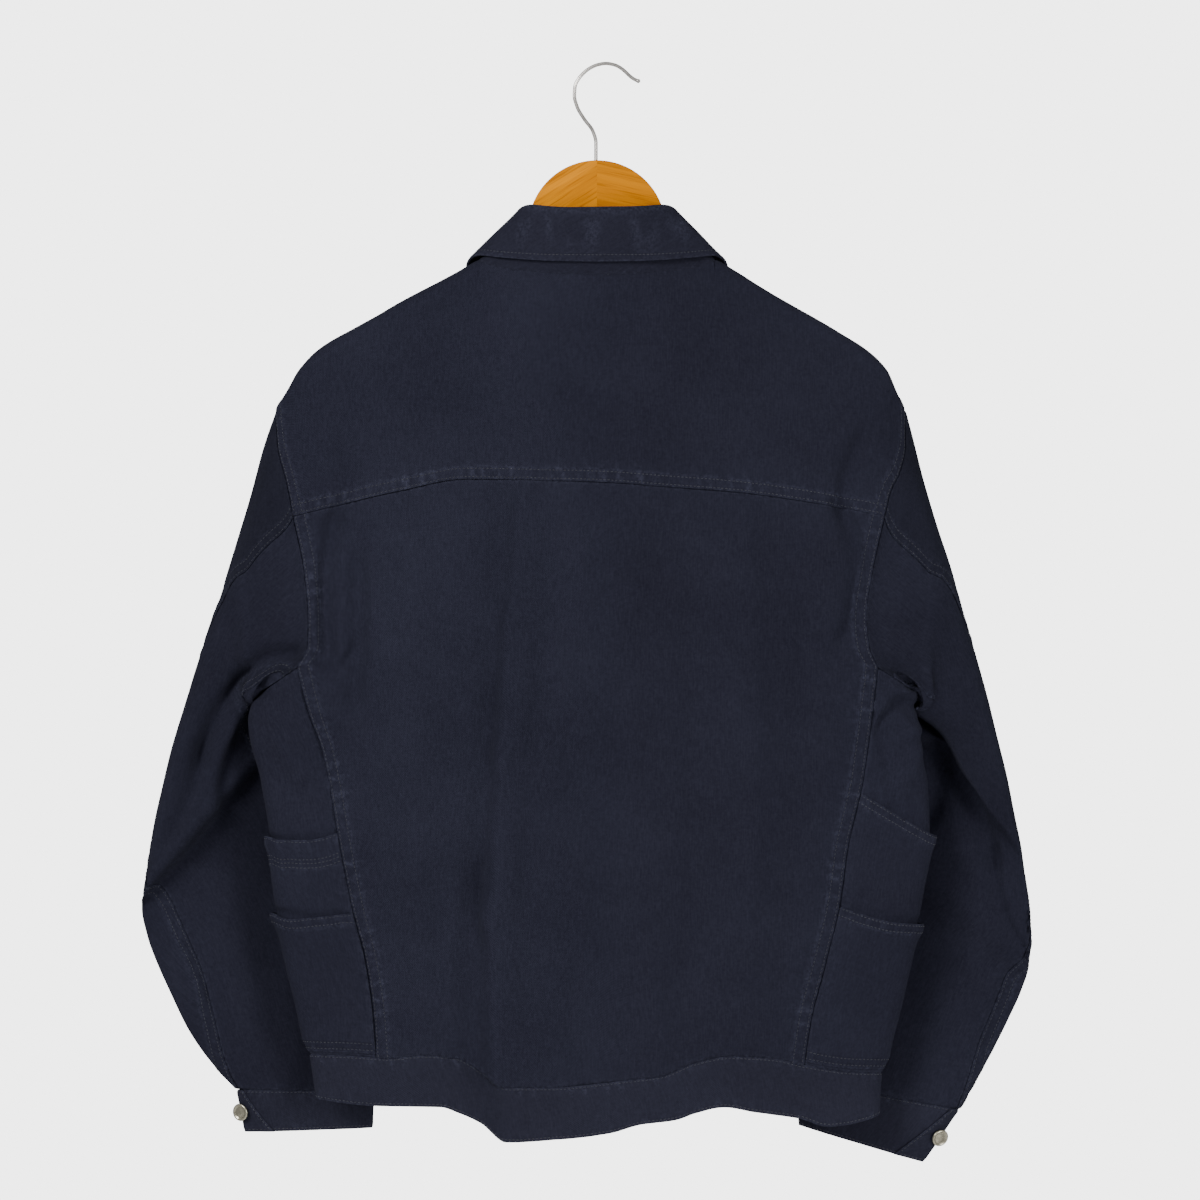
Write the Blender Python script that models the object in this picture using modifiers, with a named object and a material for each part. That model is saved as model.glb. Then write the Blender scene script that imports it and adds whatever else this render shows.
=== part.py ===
"""
A navy twill trucker jacket on a varnished wooden hanger.

Tables and sizes are in millimetres, meshes in metres.  The back of the jacket looks along -Y and
its front along +Y.  +X is the wearer's right and +Z is up.  The origin is inside the crown of the
hook, where a rail carries the hanger.

The torso is one common surface: a tent over the hanger that turns into closed rings below the arms.
Every panel is a stretch of that surface between its seams, given a wall.  The sleeves are lofts
that start on the armhole's own points.
"""
import math

import bmesh
import bpy
import numpy as np
from mathutils import Vector

MM = 0.001

# ---------------------------------------------------------------------------------- driving sizes
WALL = 2.0                  # cloth of the body and the sleeves
PATCH_WALL = 1.6            # cloth of a patch pocket
BAND_WALL = 2.6             # waistband and cuffs, folded double
GAP = 0.3                   # between two pieces at a seam
SEAM_DRAW = 0.2             # how far each piece is drawn back from its seam line
ARMHOLE_DRAW = 1.05         # and a sleeve from its armhole, where it turns away from the body

CENTRE_X = -7.0             # the middle of the jacket, seen from behind
CAP = 10.5                  # radius of the fold over the hanger, outside the cloth
TENT = 62.0                 # how fast the cloth opens out below the hanger
ARMPIT_Z = -489.8
SIDE_EASE = 110.0           # above the armpit the ring's edge opens to the fold's radius
BACK_POWER = 2.6            # roundness of the ring's back half
FRONT_POWER = 1.6           # and of its front half, which is leaner at the sides

WAIST_Z = -785.0            # near the waistband's seam
HEM_Z = -830.0              # and near its lower edge

NECK_HALF = 92.0            # neck seam, half of its width
NECK_SIDE_Z = -148.7
NECK_BACK_DROP = 12.0
NECK_FRONT_DROP = 66.0
NECK_END = 176.5            # degrees round the neck from the middle of the back to a collar end

ROLL_HALF = 61.0            # roll line of the collar, half of its width
ROLL_BACK_Y = -30.0
ROLL_FRONT_Y = 36.0
ROLL_Z = -111.5
ROLL_FRONT_DROP = 84.0
ROLL_RADIUS = 3.4
COLLAR_WALL = 2.0
STAND_START = 0.05          # the stand, as a share of the way from the neck seam to the roll line
STAND_END = 1.004

FRONT_LAP = 18.0            # each front passes the middle by this much
LAP_STEP = 2.8              # the right front lies this far under the left one
LAP_RAMP = 30.0

BUTTON_D = 14.0
BUTTON_T = 2.6
FRONT_BUTTONS_Z = (-268.0, -372.0, -476.0, -580.0, -684.0)
BAND_BUTTON_Z = -806.0

WOOD_T = 12.0               # hanger
WOOD_BEVEL = 1.5
WOOD_UNDER_RIDGE = 4.8      # top of its arms below the outside of the cloth
WOOD_NECK_DIP = 5.0         # and this much lower where it passes into the collar
HUMP_X = -7.1
HUMP_Z = -126.0
HUMP_R = 54.5
ARM_ENDS_X = {-1: -221.0, 1: 201.0}
ARM_END_R = 11.0
ARM_END_LEAN = 31.0
HOOK_WIRE_D = 2.8
HOOK_BORE_D = 3.6
HOOK_DEPTH = 26.0

# Number of cells: columns across the back, rows down each stretch of the armhole and the seams.
SHOULDER_COLUMNS = 8
NECK_ANGLES = (90.0, 80.0, 65.0, 45.0, 23.0, 0.0)
FRONT_NECK_ANGLES = (112.0, 130.0, 150.0, 168.0)
YOKE_ROWS = 7
CAP_STEPS = 4
BACK_ARM_ROWS = 7
SIDE_COLUMNS = 6
FRONT_ARM_ROWS = 11
LOWER_ROWS = 12
BAND_FRONT_COLUMNS = 14

# ------------------------------------------------------------------------------------ the outlines
# Shoulder ridge:  x | z
RIDGE = [(-275.0, -300.0), (-260.7, -268.6), (-251.2, -252.8), (-242.5, -237.0), (-227.5, -221.2),
         (-201.5, -205.4), (-173.0, -189.6), (-144.6, -173.8), (-115.3, -158.0), (-98.8, -148.9),
         (-67.9, -131.1), (-36.3, -114.6), (-7.0, -108.4), (22.1, -114.6), (53.7, -131.1),
         (85.3, -148.5), (101.1, -158.0), (126.4, -173.8), (154.8, -189.6), (181.7, -205.4),
         (206.2, -221.2), (222.0, -237.0), (229.1, -252.8), (236.2, -268.6), (250.0, -300.0)]

# Rings of the torso:  z | left edge | right edge | back y | front y | y of the side edges
SECTIONS = [(-100.0, -292.0, 268.0, -46.0, 44.0, 0.0),
            (-273.0, -289.0, 265.0, -46.0, 44.0, 0.0),
            (-355.0, -284.0, 260.0, -48.0, 46.0, -6.0),
            (-434.0, -275.0, 250.0, -50.0, 47.0, -14.0),
            (-479.0, -267.0, 241.0, -51.0, 47.0, -19.0),
            (-489.8, -269.0, 240.0, -51.0, 47.0, -20.0),
            (-499.3, -278.5, 243.0, -51.0, 47.0, -20.0),
            (-513.5, -282.0, 243.3, -51.0, 47.0, -20.0),
            (-528.5, -280.4, 243.0, -51.0, 47.0, -20.0),
            (-560.1, -271.8, 253.0, -51.0, 46.0, -20.0),
            (-601.2, -265.4, 255.2, -50.0, 45.0, -20.0),
            (-661.2, -258.3, 246.0, -48.0, 43.0, -19.0),
            (-696.8, -251.2, 239.0, -47.0, 42.0, -18.0),
            (-734.7, -241.7, 230.5, -46.0, 40.0, -18.0),
            (-773.4, -233.8, 220.5, -44.0, 38.0, -17.0),
            (-803.4, -229.9, 216.5, -42.0, 36.0, -16.0),
            (-850.0, -225.0, 215.0, -41.0, 35.0, -16.0)]

# Armholes on the back:  z | x, from the shoulder tip to where the side panel begins
ARMHOLE_BACK = {
    -1: [(-268.6, -260.7), (-299.4, -258.3), (-326.3, -251.2), (-353.1, -245.7),
         (-395.8, -237.0), (-432.9, -233.8), (-454.2, -234.3), (-471.6, -242.5)],
    +1: [(-268.6, 236.2), (-299.4, 235.4), (-319.2, 230.7), (-331.8, 224.5), (-353.1, 218.8),
         (-395.8, 209.4), (-431.3, 204.6), (-455.8, 206.8), (-471.6, 213.3)]}
ARMHOLE_FRONT_SCOOP = 12.0  # the front armhole runs this much further in

# Side-back seams:  z | x
SIDE_BACK_SEAM = {
    -1: [(-471.6, -242.5), (-504.8, -233.8), (-534.8, -222.8), (-573.5, -214.9), (-603.6, -210.1),
         (-663.6, -198.3), (-696.8, -189.6), (-737.9, -183.3), (-790.0, -179.6)],
    +1: [(-471.6, 213.3), (-497.7, 210.1), (-528.5, 206.2), (-560.1, 201.5), (-608.3, 190.4),
         (-661.2, 182.5), (-703.9, 172.2), (-746.6, 161.2), (-790.0, 154.6)]}

# Yoke seam, waistband seam and hem on the back:  x | z
YOKE_SEAM = [(-245.7, -353.1), (-218.0, -346.0), (-162.7, -333.4), (-109.8, -323.9),
             (-62.4, -324.7), (-4.0, -326.3), (49.8, -330.2), (102.7, -334.2), (155.6, -341.3),
             (192.8, -347.6), (218.8, -353.1)]
WAIST_SEAM = [(-240.0, -775.8), (-200.7, -776.6), (-170.6, -778.2), (-143.0, -775.8),
              (-118.5, -777.4), (-94.0, -791.6), (-78.2, -801.1), (-45.8, -801.1), (7.1, -796.3),
              (44.2, -791.6), (71.1, -781.3), (97.2, -776.6), (129.6, -778.2), (155.6, -783.7),
              (188.0, -789.0), (225.0, -790.8)]
HEM = [(-232.0, -811.0), (-184.1, -816.1), (-129.6, -816.9), (-115.3, -821.6), (-98.0, -829.5),
       (-78.2, -844.5), (-35.6, -842.1), (2.4, -837.4), (28.4, -830.3), (54.5, -827.1),
       (70.3, -821.6), (92.4, -816.9), (116.1, -820.8), (153.3, -826.3), (173.8, -832.7),
       (191.2, -831.1), (205.4, -827.9), (220.0, -823.0)]

# Largest folds of the back:  x, z at the top | x, z at the bottom | half width | height
BACK_FOLDS = [(-60.0, -345.0, -70.0, -500.0, 13.0, 4.0),
              (-70.0, -500.0, -80.0, -640.0, 13.0, 4.5),
              (-80.0, -640.0, -80.0, -780.0, 13.0, 4.5),
              (-78.0, -350.0, -86.0, -500.0, 12.0, -5.0),
              (-86.0, -500.0, -98.0, -640.0, 12.0, -5.5),
              (-98.0, -640.0, -100.0, -780.0, 12.0, -5.5),
              (-214.0, -360.0, -219.0, -470.0, 12.0, -4.0),
              (-194.0, -395.0, -196.0, -485.0, 11.0, -3.5),
              (189.0, -365.0, 196.0, -440.0, 13.0, -4.5),
              (22.0, -380.0, 26.0, -700.0, 22.0, 2.5),
              (70.0, -420.0, 62.0, -740.0, 20.0, -2.5),
              (112.0, -380.0, 108.0, -720.0, 20.0, 2.5),
              (-150.0, -420.0, -146.0, -740.0, 22.0, 3.0)]
FRONT_FOLDS = [(-150.0, -330.0, -128.0, -640.0, 18.0, -3.0),
               (-95.0, -420.0, -88.0, -760.0, 20.0, 3.0),
               (128.0, -340.0, 112.0, -650.0, 18.0, -3.0),
               (84.0, -430.0, 78.0, -750.0, 20.0, 3.0)]

# Pocket openings:  x | z on the back half of the side panel
POCKET_OPENINGS = {
    ("left", "upper"): [(-263.9, -603.6), (-255.2, -606.5), (-233.8, -606.7), (-208.0, -600.4)],
    ("left", "lower"): [(-257.5, -663.6), (-247.3, -668.3), (-222.8, -666.8), (-198.3, -663.6)],
    ("right", "upper"): [(192.0, -564.9), (254.4, -603.6)],
    ("right", "lower"): [(183.3, -658.9), (196.7, -663.6), (229.1, -671.5), (246.0, -672.3)]}

# Free edge of the fall:  degrees round the neck | half width | y | z
FALL_EDGE = [(0.0, 0.0, -45.0, -149.3), (22.0, 44.0, -43.5, -149.0), (45.0, 80.0, -36.0, -148.0),
             (65.0, 99.0, -24.0, -148.5), (80.0, 108.0, -10.0, -151.5), (95.0, 113.0, 7.0, -156.0),
             (115.0, 113.0, 27.0, -176.0), (140.0, 98.0, 41.0, -214.0), (160.0, 78.0, 48.5, -252.0),
             (176.5, 52.0, 53.0, -274.0)]

# Rings of a sleeve, from the armhole to the cuff.  The outer point is on the outline, the inner one
# hangs in front of the body's side.
#   outer x, z, y | inner x, z, y | back depth | front depth
LEFT_SLEEVE = [(-260.7, -268.6, 0.0, -265.4, -489.8, -20.0, 40.0, 45.0),
               (-271.0, -300.0, 0.0, -274.0, -488.5, -14.0, 34.0, 42.0),
               (-284.4, -348.0, 0.0, -280.0, -490.5, -8.0, 27.0, 40.0),
               (-303.4, -411.0, 0.0, -283.0, -494.5, -2.0, 21.0, 38.0),
               (-324.0, -474.0, 0.0, -282.0, -499.5, 4.0, 18.0, 36.0),
               (-343.7, -537.0, 0.0, -278.0, -506.0, 10.0, 17.0, 34.0),
               (-358.0, -601.0, 0.0, -273.0, -514.0, 16.0, 16.0, 32.0),
               (-366.0, -650.0, 0.0, -266.0, -525.0, 21.0, 16.0, 31.0),
               (-367.4, -663.0, 4.0, -258.0, -538.0, 24.0, 4.0, 30.0),
               (-362.0, -686.0, 6.0, -243.0, -572.0, 27.0, 5.0, 29.0),
               (-345.2, -726.8, 7.0, -222.0, -630.0, 28.0, 7.0, 27.0),
               (-330.2, -758.4, 8.0, -209.0, -688.0, 28.0, 8.0, 25.0),
               (-311.0, -786.0, 9.0, -197.0, -749.0, 28.0, 9.0, 22.0),
               (-292.5, -806.0, 10.0, -184.5, -807.0, 28.0, 10.0, 16.0)]
LEFT_CUFF_END = (-286.5, -840.0, 11.0, -184.5, -838.0, 29.0, 9.0, 15.0)

RIGHT_SLEEVE = [(236.2, -268.6, 0.0, 236.2, -489.8, -20.0, 40.0, 45.0),
                (244.9, -300.0, 0.0, 243.5, -488.5, -14.0, 34.0, 42.0),
                (258.0, -348.0, 0.0, 248.0, -490.0, -8.0, 27.0, 40.0),
                (277.3, -411.0, 0.0, 250.5, -493.0, -2.0, 21.0, 38.0),
                (295.5, -474.0, 0.0, 250.5, -497.0, 4.0, 18.0, 36.0),
                (312.1, -537.0, 0.0, 248.5, -501.0, 10.0, 17.0, 34.0),
                (323.0, -588.0, 0.0, 245.0, -505.0, 15.0, 16.0, 32.0),
                (327.5, -612.0, 0.0, 241.0, -509.5, 19.0, 16.0, 31.0),
                (330.0, -628.0, 3.0, 235.0, -521.0, 23.0, 6.0, 31.0),
                (335.5, -665.0, 4.0, 224.0, -552.0, 26.0, 9.0, 30.0),
                (336.5, -697.0, 4.0, 210.0, -600.0, 28.0, 10.0, 29.0),
                (328.6, -727.0, 7.0, 197.0, -650.0, 28.0, 6.0, 27.0),
                (309.0, -769.0, 8.0, 177.0, -720.0, 29.0, 8.0, 23.0),
                (280.0, -822.0, 10.0, 153.5, -798.0, 30.0, 10.0, 16.0)]
RIGHT_CUFF_END = (251.0, -864.0, 12.0, 152.5, -836.0, 31.0, 9.0, 15.0)

SLEEVE_POWER = 2.2
INNER_SEAM_STEP = 2         # the inner seam meets the armhole this many points behind the armpit
ARMHOLE_EASE = 2.6          # rings over which the armhole's own line turns into a sleeve ring
SLEEVE_STATIONS = (0.0, 0.45, 1.0, 2.0, 3.0, 4.0, 5.0, 6.0, 7.0, 8.0, 9.0, 10.0, 11.0, 12.0, 13.0)

# Seams along a sleeve:  ring | turn of the back seam | turn of the inner seam (0 outside, 0.5 inside)
SLEEVE_SEAMS = [(1.0, 0.10, 0.435), (2.0, 0.055, 0.43), (3.0, 0.01, 0.42), (4.0, -0.02, 0.415),
                (5.5, -0.03, 0.41), (7.0, -0.03, 0.41), (8.0, -0.02, 0.42), (10.0, 0.03, 0.43),
                (13.0, 0.045, 0.44)]
CUFF_LAP = 0.07             # of a turn, at the overlapping ends
CUFF_COLUMNS = 30
CUFF_BUTTON_DOWN = 0.52     # of the cuff's height

# Underside of the hanger, from the left arm to the right one:  x | z
HANGER_UNDERSIDE = [(-138.0, -204.0), (-76.0, -176.0), (HUMP_X, -164.0), (60.0, -176.0),
                    (120.0, -204.0)]

# Hook wire:  x | z, from inside the wood to its tip
HOOK_ROUTE = [(-7.9, -96.0), (-7.9, -71.9), (-7.9, -58.0), (-10.4, -48.2), (-17.2, -38.7),
              (-22.7, -29.2), (-24.9, -20.5), (-24.4, -13.0), (-21.3, -6.6), (-17.0, -1.8),
              (-11.9, 1.9), (-6.0, 4.3), (0.0, 5.2), (6.3, 4.2), (11.7, 1.6), (15.8, -1.8),
              (19.4, -5.2), (23.2, -7.7), (27.2, -9.3)]

COLOURS = {"twill": ((34, 37, 48), 0.85, 0.0), "twill_band": ((39, 42, 54), 0.85, 0.0),
           "twill_pocket": ((36, 39, 50), 0.85, 0.0), "twill_collar": ((38, 41, 52), 0.85, 0.0),
           "button_metal": ((165, 160, 135), 0.35, 1.0),
           "varnished_wood": ((196, 134, 42), 0.30, 0.0), "hook_wire": ((120, 118, 112), 0.35, 1.0)}


# ---------------------------------------------------------------------------------- small helpers
def smooth_step(t):
    t = np.clip(t, 0.0, 1.0)
    return t * t * (3.0 - 2.0 * t)


def signed_power(value, power):
    return np.sign(value) * np.abs(value) ** power


def smooth_line(table, column=1):
    """A curve through a table's rows that never overshoots them, as a function of column 0."""
    rows = sorted(table)
    t = np.array([row[0] for row in rows])
    v = np.array([row[column] for row in rows])
    slope = np.diff(v) / np.diff(t)
    tangent = np.zeros_like(v)
    tangent[0], tangent[-1] = slope[0], slope[-1]
    product = slope[:-1] * slope[1:]
    total = np.where(product > 0.0, slope[:-1] + slope[1:], 1.0)
    tangent[1:-1] = np.where(product > 0.0, 2.0 * product / total, 0.0)

    def value(x):
        x = np.clip(np.asarray(x, float), t[0], t[-1])
        k = np.clip(np.searchsorted(t, x) - 1, 0, len(t) - 2)
        h = t[k + 1] - t[k]
        s = (x - t[k]) / h
        return ((2 * s ** 3 - 3 * s ** 2 + 1) * v[k] + (s ** 3 - 2 * s ** 2 + s) * h * tangent[k]
                + (3 * s ** 2 - 2 * s ** 3) * v[k + 1] + (s ** 3 - s ** 2) * h * tangent[k + 1])
    return value


def resampled(points, count):
    """Points of a line, evenly spaced along it."""
    points = np.asarray(points, float)
    run = np.concatenate([[0.0], np.cumsum(np.linalg.norm(np.diff(points, axis=0), axis=1))])
    want = np.linspace(0.0, run[-1], count)
    return np.stack([np.interp(want, run, points[:, k]) for k in range(points.shape[1])], axis=1)


def between_edges(left, right, top, bottom):
    """A grid between four edges (a Coons patch): rows run down, columns run from left to right."""
    rows, columns = len(left), len(top)
    s = np.linspace(0.0, 1.0, columns)[None, :, None]
    t = np.linspace(0.0, 1.0, rows)[:, None, None]
    across = (1 - s) * left[:, None] + s * right[:, None]
    down = (1 - t) * top[None] + t * bottom[None]
    corners = ((1 - s) * (1 - t) * top[0] + s * (1 - t) * top[-1]
               + (1 - s) * t * bottom[0] + s * t * bottom[-1])
    return across + down - corners


ridge = smooth_line(RIDGE)
ring_left = smooth_line(SECTIONS, 1)
ring_right = smooth_line(SECTIONS, 2)
ring_back = smooth_line(SECTIONS, 3)
ring_front = smooth_line(SECTIONS, 4)
ring_edge_y = smooth_line(SECTIONS, 5)
yoke_seam = smooth_line(YOKE_SEAM)
waist_seam_back = smooth_line(WAIST_SEAM)
hem_back = smooth_line(HEM)


# ------------------------------------------------------------------------------ the torso's surface
def relief(x, z, folds):
    """Height of the folds: each is a soft bar along its line, fading at its ends."""
    height = np.zeros(np.broadcast(x, z).shape)
    for x0, z0, x1, z1, half_width, amount in folds:
        length = math.hypot(x1 - x0, z1 - z0)
        along = ((x - x0) * (x1 - x0) + (z - z0) * (z1 - z0)) / length ** 2
        across = ((x - x0) * (z1 - z0) - (z - z0) * (x1 - x0)) / length
        beyond = np.maximum(np.maximum(-along, along - 1.0), 0.0) * length
        height += amount * np.exp(-(across / half_width) ** 2 - (beyond / 30.0) ** 2)
    return height


def torso_y(x, z, side, bulge=None):
    """Depth of the torso's surface: the ring's half oval, flattened towards the shoulder ridge."""
    middle = (ring_left(z) + ring_right(z)) / 2
    half = (ring_right(z) - ring_left(z)) / 2
    if bulge is None:
        power = np.where(side < 0, BACK_POWER, FRONT_POWER)
        offset = np.clip(np.abs(x - middle) / half, 0.0, 1.0)
        bulge = (1.0 - offset ** power) ** (1.0 / power)
    below = np.maximum(ridge(x) - CAP - z, 0.0)
    opening = 1.0 - np.exp(-below / TENT)
    edge = CAP * smooth_step((z - ARMPIT_Z) / SIDE_EASE)
    centre_y = np.where(side < 0, ring_back(z), ring_front(z))
    depth = np.abs(centre_y - ring_edge_y(z)) - edge
    folds = np.where(side < 0, relief(x, z, BACK_FOLDS), relief(x, z, FRONT_FOLDS))
    return ring_edge_y(z) * opening + side * (edge + depth * bulge * opening + folds * bulge)


def back_chart(x, q):
    """q runs over the shoulder: negative on the fold's front, 0 on the ridge, then down the back."""
    angle = np.clip(q / CAP, -math.pi / 2, math.pi / 2)
    fold_z = ridge(x) - CAP
    down = np.maximum(q - CAP * math.pi / 2, 0.0)
    z = np.where(down > 0.0, fold_z - down, fold_z + CAP * np.cos(angle))
    y = np.where(down > 0.0, torso_y(x, fold_z - down, -1), -CAP * np.sin(angle))
    return np.stack([x + 0 * z, y, z], axis=-1)


def front_chart(x, q):
    """q runs down the front from the shoulder seam, which ends the fold over the hanger."""
    z = ridge(x) - CAP - q
    return np.stack([x + 0 * z, torso_y(x, z, +1), z], axis=-1)


def right_front_chart(x, q):
    """The right front steps in near its edge, where the left front lies over it."""
    point = front_chart(x, q)
    reach = CENTRE_X + FRONT_LAP + LAP_RAMP - x
    point[..., 1] -= LAP_STEP * smooth_step(reach / (LAP_RAMP - 6.0))
    return point


def ring_chart(turn, z):
    """turn in degrees round the torso: 0 the middle of the back, +-90 the side edges, 180 front."""
    angle = np.radians(turn)
    power = np.where(np.cos(angle) > 0.0, BACK_POWER, FRONT_POWER)
    middle = (ring_left(z) + ring_right(z)) / 2
    half = (ring_right(z) - ring_left(z)) / 2
    x = middle + half * signed_power(np.sin(angle), 2.0 / power)
    bulge = np.abs(np.cos(angle)) ** (2.0 / power)
    y = torso_y(x, z, np.where(np.cos(angle) > 0.0, -1, +1), bulge)
    return np.stack([x, y, z + 0 * x], axis=-1)


def turn_of(x, z, side):
    """The ring's turn at a point of the back (side -1) or of the front (side +1)."""
    middle = (ring_left(z) + ring_right(z)) / 2
    half = (ring_right(z) - ring_left(z)) / 2
    power = BACK_POWER if side < 0 else FRONT_POWER
    offset = np.clip(np.abs(x - middle) / half, 0.0, 1.0)
    turn = np.degrees(np.arcsin(offset ** (power / 2.0)))
    return np.sign(x - middle) * (turn if side < 0 else 180.0 - turn)


def back_q(x, z):
    """Way over the shoulder to a height on the back, also where that is still on the fold."""
    drop = ridge(x) - z
    on_fold = CAP * np.arccos(np.clip(1.0 - drop / CAP, 0.0, 1.0))
    return np.where(drop < CAP, on_fold, CAP * math.pi / 2 + drop - CAP)


def front_q(x, z):
    return ridge(x) - CAP - z


# ------------------------------------------------------------------------------- walls and pieces
def normals_of(chart, a, b, step_a, step_b, outward):
    """Unit normals of a chart by its own differences, turned to the outward side."""
    along = chart(a + step_a, b) - chart(a - step_a, b)
    down = chart(a, b + step_b) - chart(a, b - step_b)
    normal = np.cross(along, down)
    normal /= np.linalg.norm(normal, axis=-1, keepdims=True)
    middle = normal[normal.shape[0] // 2, normal.shape[1] // 2]
    return normal if np.dot(middle, outward) > 0.0 else -normal


def drawn_back(points, draw, first_draw=None):
    """Every edge of a grid pulled square to itself towards the next row or column."""
    result = points.copy()
    for axis in (0, 1):
        for edge, inner in ((0, 1), (-1, -2)):
            line = np.take(points, edge, axis=axis)
            inward = np.take(points, inner, axis=axis) - line
            run = np.gradient(line, axis=0)
            share = np.sum(inward * run, axis=1) / np.sum(run * run, axis=1)
            inward -= run * share[:, None]
            amount = first_draw if first_draw and (axis, edge) == (0, 0) else draw
            inward *= amount / np.linalg.norm(inward, axis=1, keepdims=True)
            index = [slice(None), slice(None)]
            index[axis] = edge
            result[tuple(index)] += inward
    return result


def wall_mesh(name, outer, inner):
    """A closed wall between two grids of points, in millimetres, the outer one facing out."""
    rows, columns = outer.shape[:2]
    count = rows * columns
    index = np.arange(count).reshape(rows, columns)
    quads = np.stack([index[:-1, :-1], index[1:, :-1], index[1:, 1:], index[:-1, 1:]], axis=-1)
    quads = quads.reshape(-1, 4)
    rim = np.concatenate([index[0, :], index[1:, -1], index[-1, -2::-1], index[-2:0:-1, 0]])
    after = np.roll(rim, -1)
    rim_quads = np.stack([rim, after, after + count, rim + count], axis=-1)
    faces = np.concatenate([quads, quads[:, ::-1] + count, rim_quads])
    mesh = bpy.data.meshes.new(name)
    vertices = np.concatenate([outer.reshape(-1, 3), inner.reshape(-1, 3)]) * MM
    mesh.from_pydata(vertices.tolist(), [], faces.tolist())
    work = bmesh.new()
    work.from_mesh(mesh)
    if work.calc_volume(signed=True) < 0.0:
        bmesh.ops.reverse_faces(work, faces=work.faces)
    work.to_mesh(mesh)
    work.free()
    mesh.shade_smooth()
    mesh.set_sharp_from_angle(angle=math.radians(50))
    return mesh


def add_object(name, mesh, finish, parts):
    piece = bpy.data.objects.new(name, mesh)
    parts.objects.link(piece)
    mesh.materials.clear()
    mesh.materials.append(principled(name, finish))
    return piece


def add_wall(name, points, normals, low, high, finish, parts, draw=SEAM_DRAW, first_draw=None):
    """The wall of a panel between two heights over its surface, drawn back at its seams."""
    outer = drawn_back(points + normals * high, draw, first_draw)
    inner = drawn_back(points + normals * low, draw, first_draw)
    return add_object(name, wall_mesh(name, outer, inner), finish, parts)


def principled(name, finish):
    (red, green, blue), roughness, metallic = COLOURS[finish]
    material = bpy.data.materials.new(name + "_" + finish)
    material.use_nodes = True
    shader = material.node_tree.nodes["Principled BSDF"]
    linear = [((channel / 255 + 0.055) / 1.055) ** 2.4 for channel in (red, green, blue)]
    shader.inputs["Base Color"].default_value = (*linear, 1.0)
    shader.inputs["Roughness"].default_value = roughness
    shader.inputs["Metallic"].default_value = metallic
    return material


# ----------------------------------------------------------------------------- seams of the torso
def neck_x(angle):
    return CENTRE_X + NECK_HALF * np.sin(np.radians(angle))


def neck_z(angle):
    """Neck seam: shallow behind, deeper in front, level with the ridge at the sides."""
    rise = np.cos(np.radians(angle))
    back = NECK_SIDE_Z - NECK_BACK_DROP * rise
    front = NECK_SIDE_Z - NECK_FRONT_DROP * np.abs(rise) ** 0.9
    return np.where(rise >= 0.0, back, front)


def neck_seam_angle(sign):
    """Where the neck seam passes from the yoke to a front: it leaves the shoulder fold there."""
    angles = np.linspace(90.0, 110.0, 401)
    below = ridge(neck_x(sign * angles)) - CAP - neck_z(sign * angles)
    return float(np.interp(0.0, below, angles))


def neck_point(angle):
    """A point of the neck seam, on the fold over the shoulder, the back or the front."""
    angle = np.asarray(angle, float)
    x, z = neck_x(angle), neck_z(angle)
    drop = np.clip(ridge(x) - z, 0.0, None)
    side = np.where(np.abs(angle) > 90.0, 1.0, -1.0)
    on_fold = CAP * np.sin(np.arccos(np.clip(1.0 - drop / CAP, 0.0, 1.0)))
    flat = torso_y(x, z, side)
    y = np.where(drop < CAP, side * on_fold, flat)
    return np.stack([x, y, z], axis=-1)


def armhole_back_x(side):
    return smooth_line(ARMHOLE_BACK[side])


def armhole_front_x(z, side):
    """The front armhole: the back one, scooped further in over its middle."""
    top, bottom = ARMHOLE_BACK[side][0][0], ARMHOLE_BACK[side][-1][0]
    share = np.clip((z - top) / (bottom - top), 0.0, 1.0)
    return armhole_back_x(side)(z) - side * ARMHOLE_FRONT_SCOOP * np.sin(math.pi * share) ** 1.5


def yoke_edge(side):
    """The yoke's end at an armhole, as (x, q) from the shoulder seam to the yoke seam."""
    tip_z, tip_x = ARMHOLE_BACK[side][0]
    z = np.linspace(tip_z, YOKE_SEAM[0][1], 60)
    x = armhole_back_x(side)(z)
    way = back_q(x, z)
    fold = CAP * math.pi / 2
    steps = np.linspace(-fold, fold, CAP_STEPS + 1)
    rest = np.linspace(fold, way[-1], YOKE_ROWS + 1)[1:]
    q = np.concatenate([steps, rest])
    return np.stack([np.interp(q, way, x), q], axis=1)


def side_top(side):
    """The foot of an armhole on the side panel, as (turn, z), from the back seam to the front one."""
    z_back, x_back = ARMHOLE_BACK[side][-1]
    start = float(turn_of(x_back, z_back, -1))
    end = float(turn_of(armhole_front_x(z_back, side), z_back, +1))
    turn = np.linspace(start, end, SIDE_COLUMNS + 1)
    middle = 90.0 * side
    reach = np.where(np.abs(turn) < 90.0, start - middle, end - middle)
    z = ARMPIT_Z + (z_back - ARMPIT_Z) * np.abs((turn - middle) / reach) ** 1.7
    return np.stack([turn, z], axis=1)


def waist_z(turn):
    """Waistband seam round the ring: the table behind, straight across the front."""
    return around_front(turn, waist_seam_back, WAIST_Z)


def hem_z(turn):
    return around_front(turn, hem_back, HEM_Z)


def around_front(turn, back_line, near_z):
    """Height of a line round the ring: found step by step, because the ring narrows downwards."""
    left, right = back_line(ring_left(near_z)), back_line(ring_right(near_z))
    z = np.full(np.shape(turn), near_z)
    for _ in range(4):
        x = ring_chart(turn, z)[..., 0]
        share = (x - ring_left(z)) / (ring_right(z) - ring_left(z))
        across = left + (right - left) * share
        z = np.where(np.cos(np.radians(turn)) > 0.0, back_line(x), across)
    return z


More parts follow.
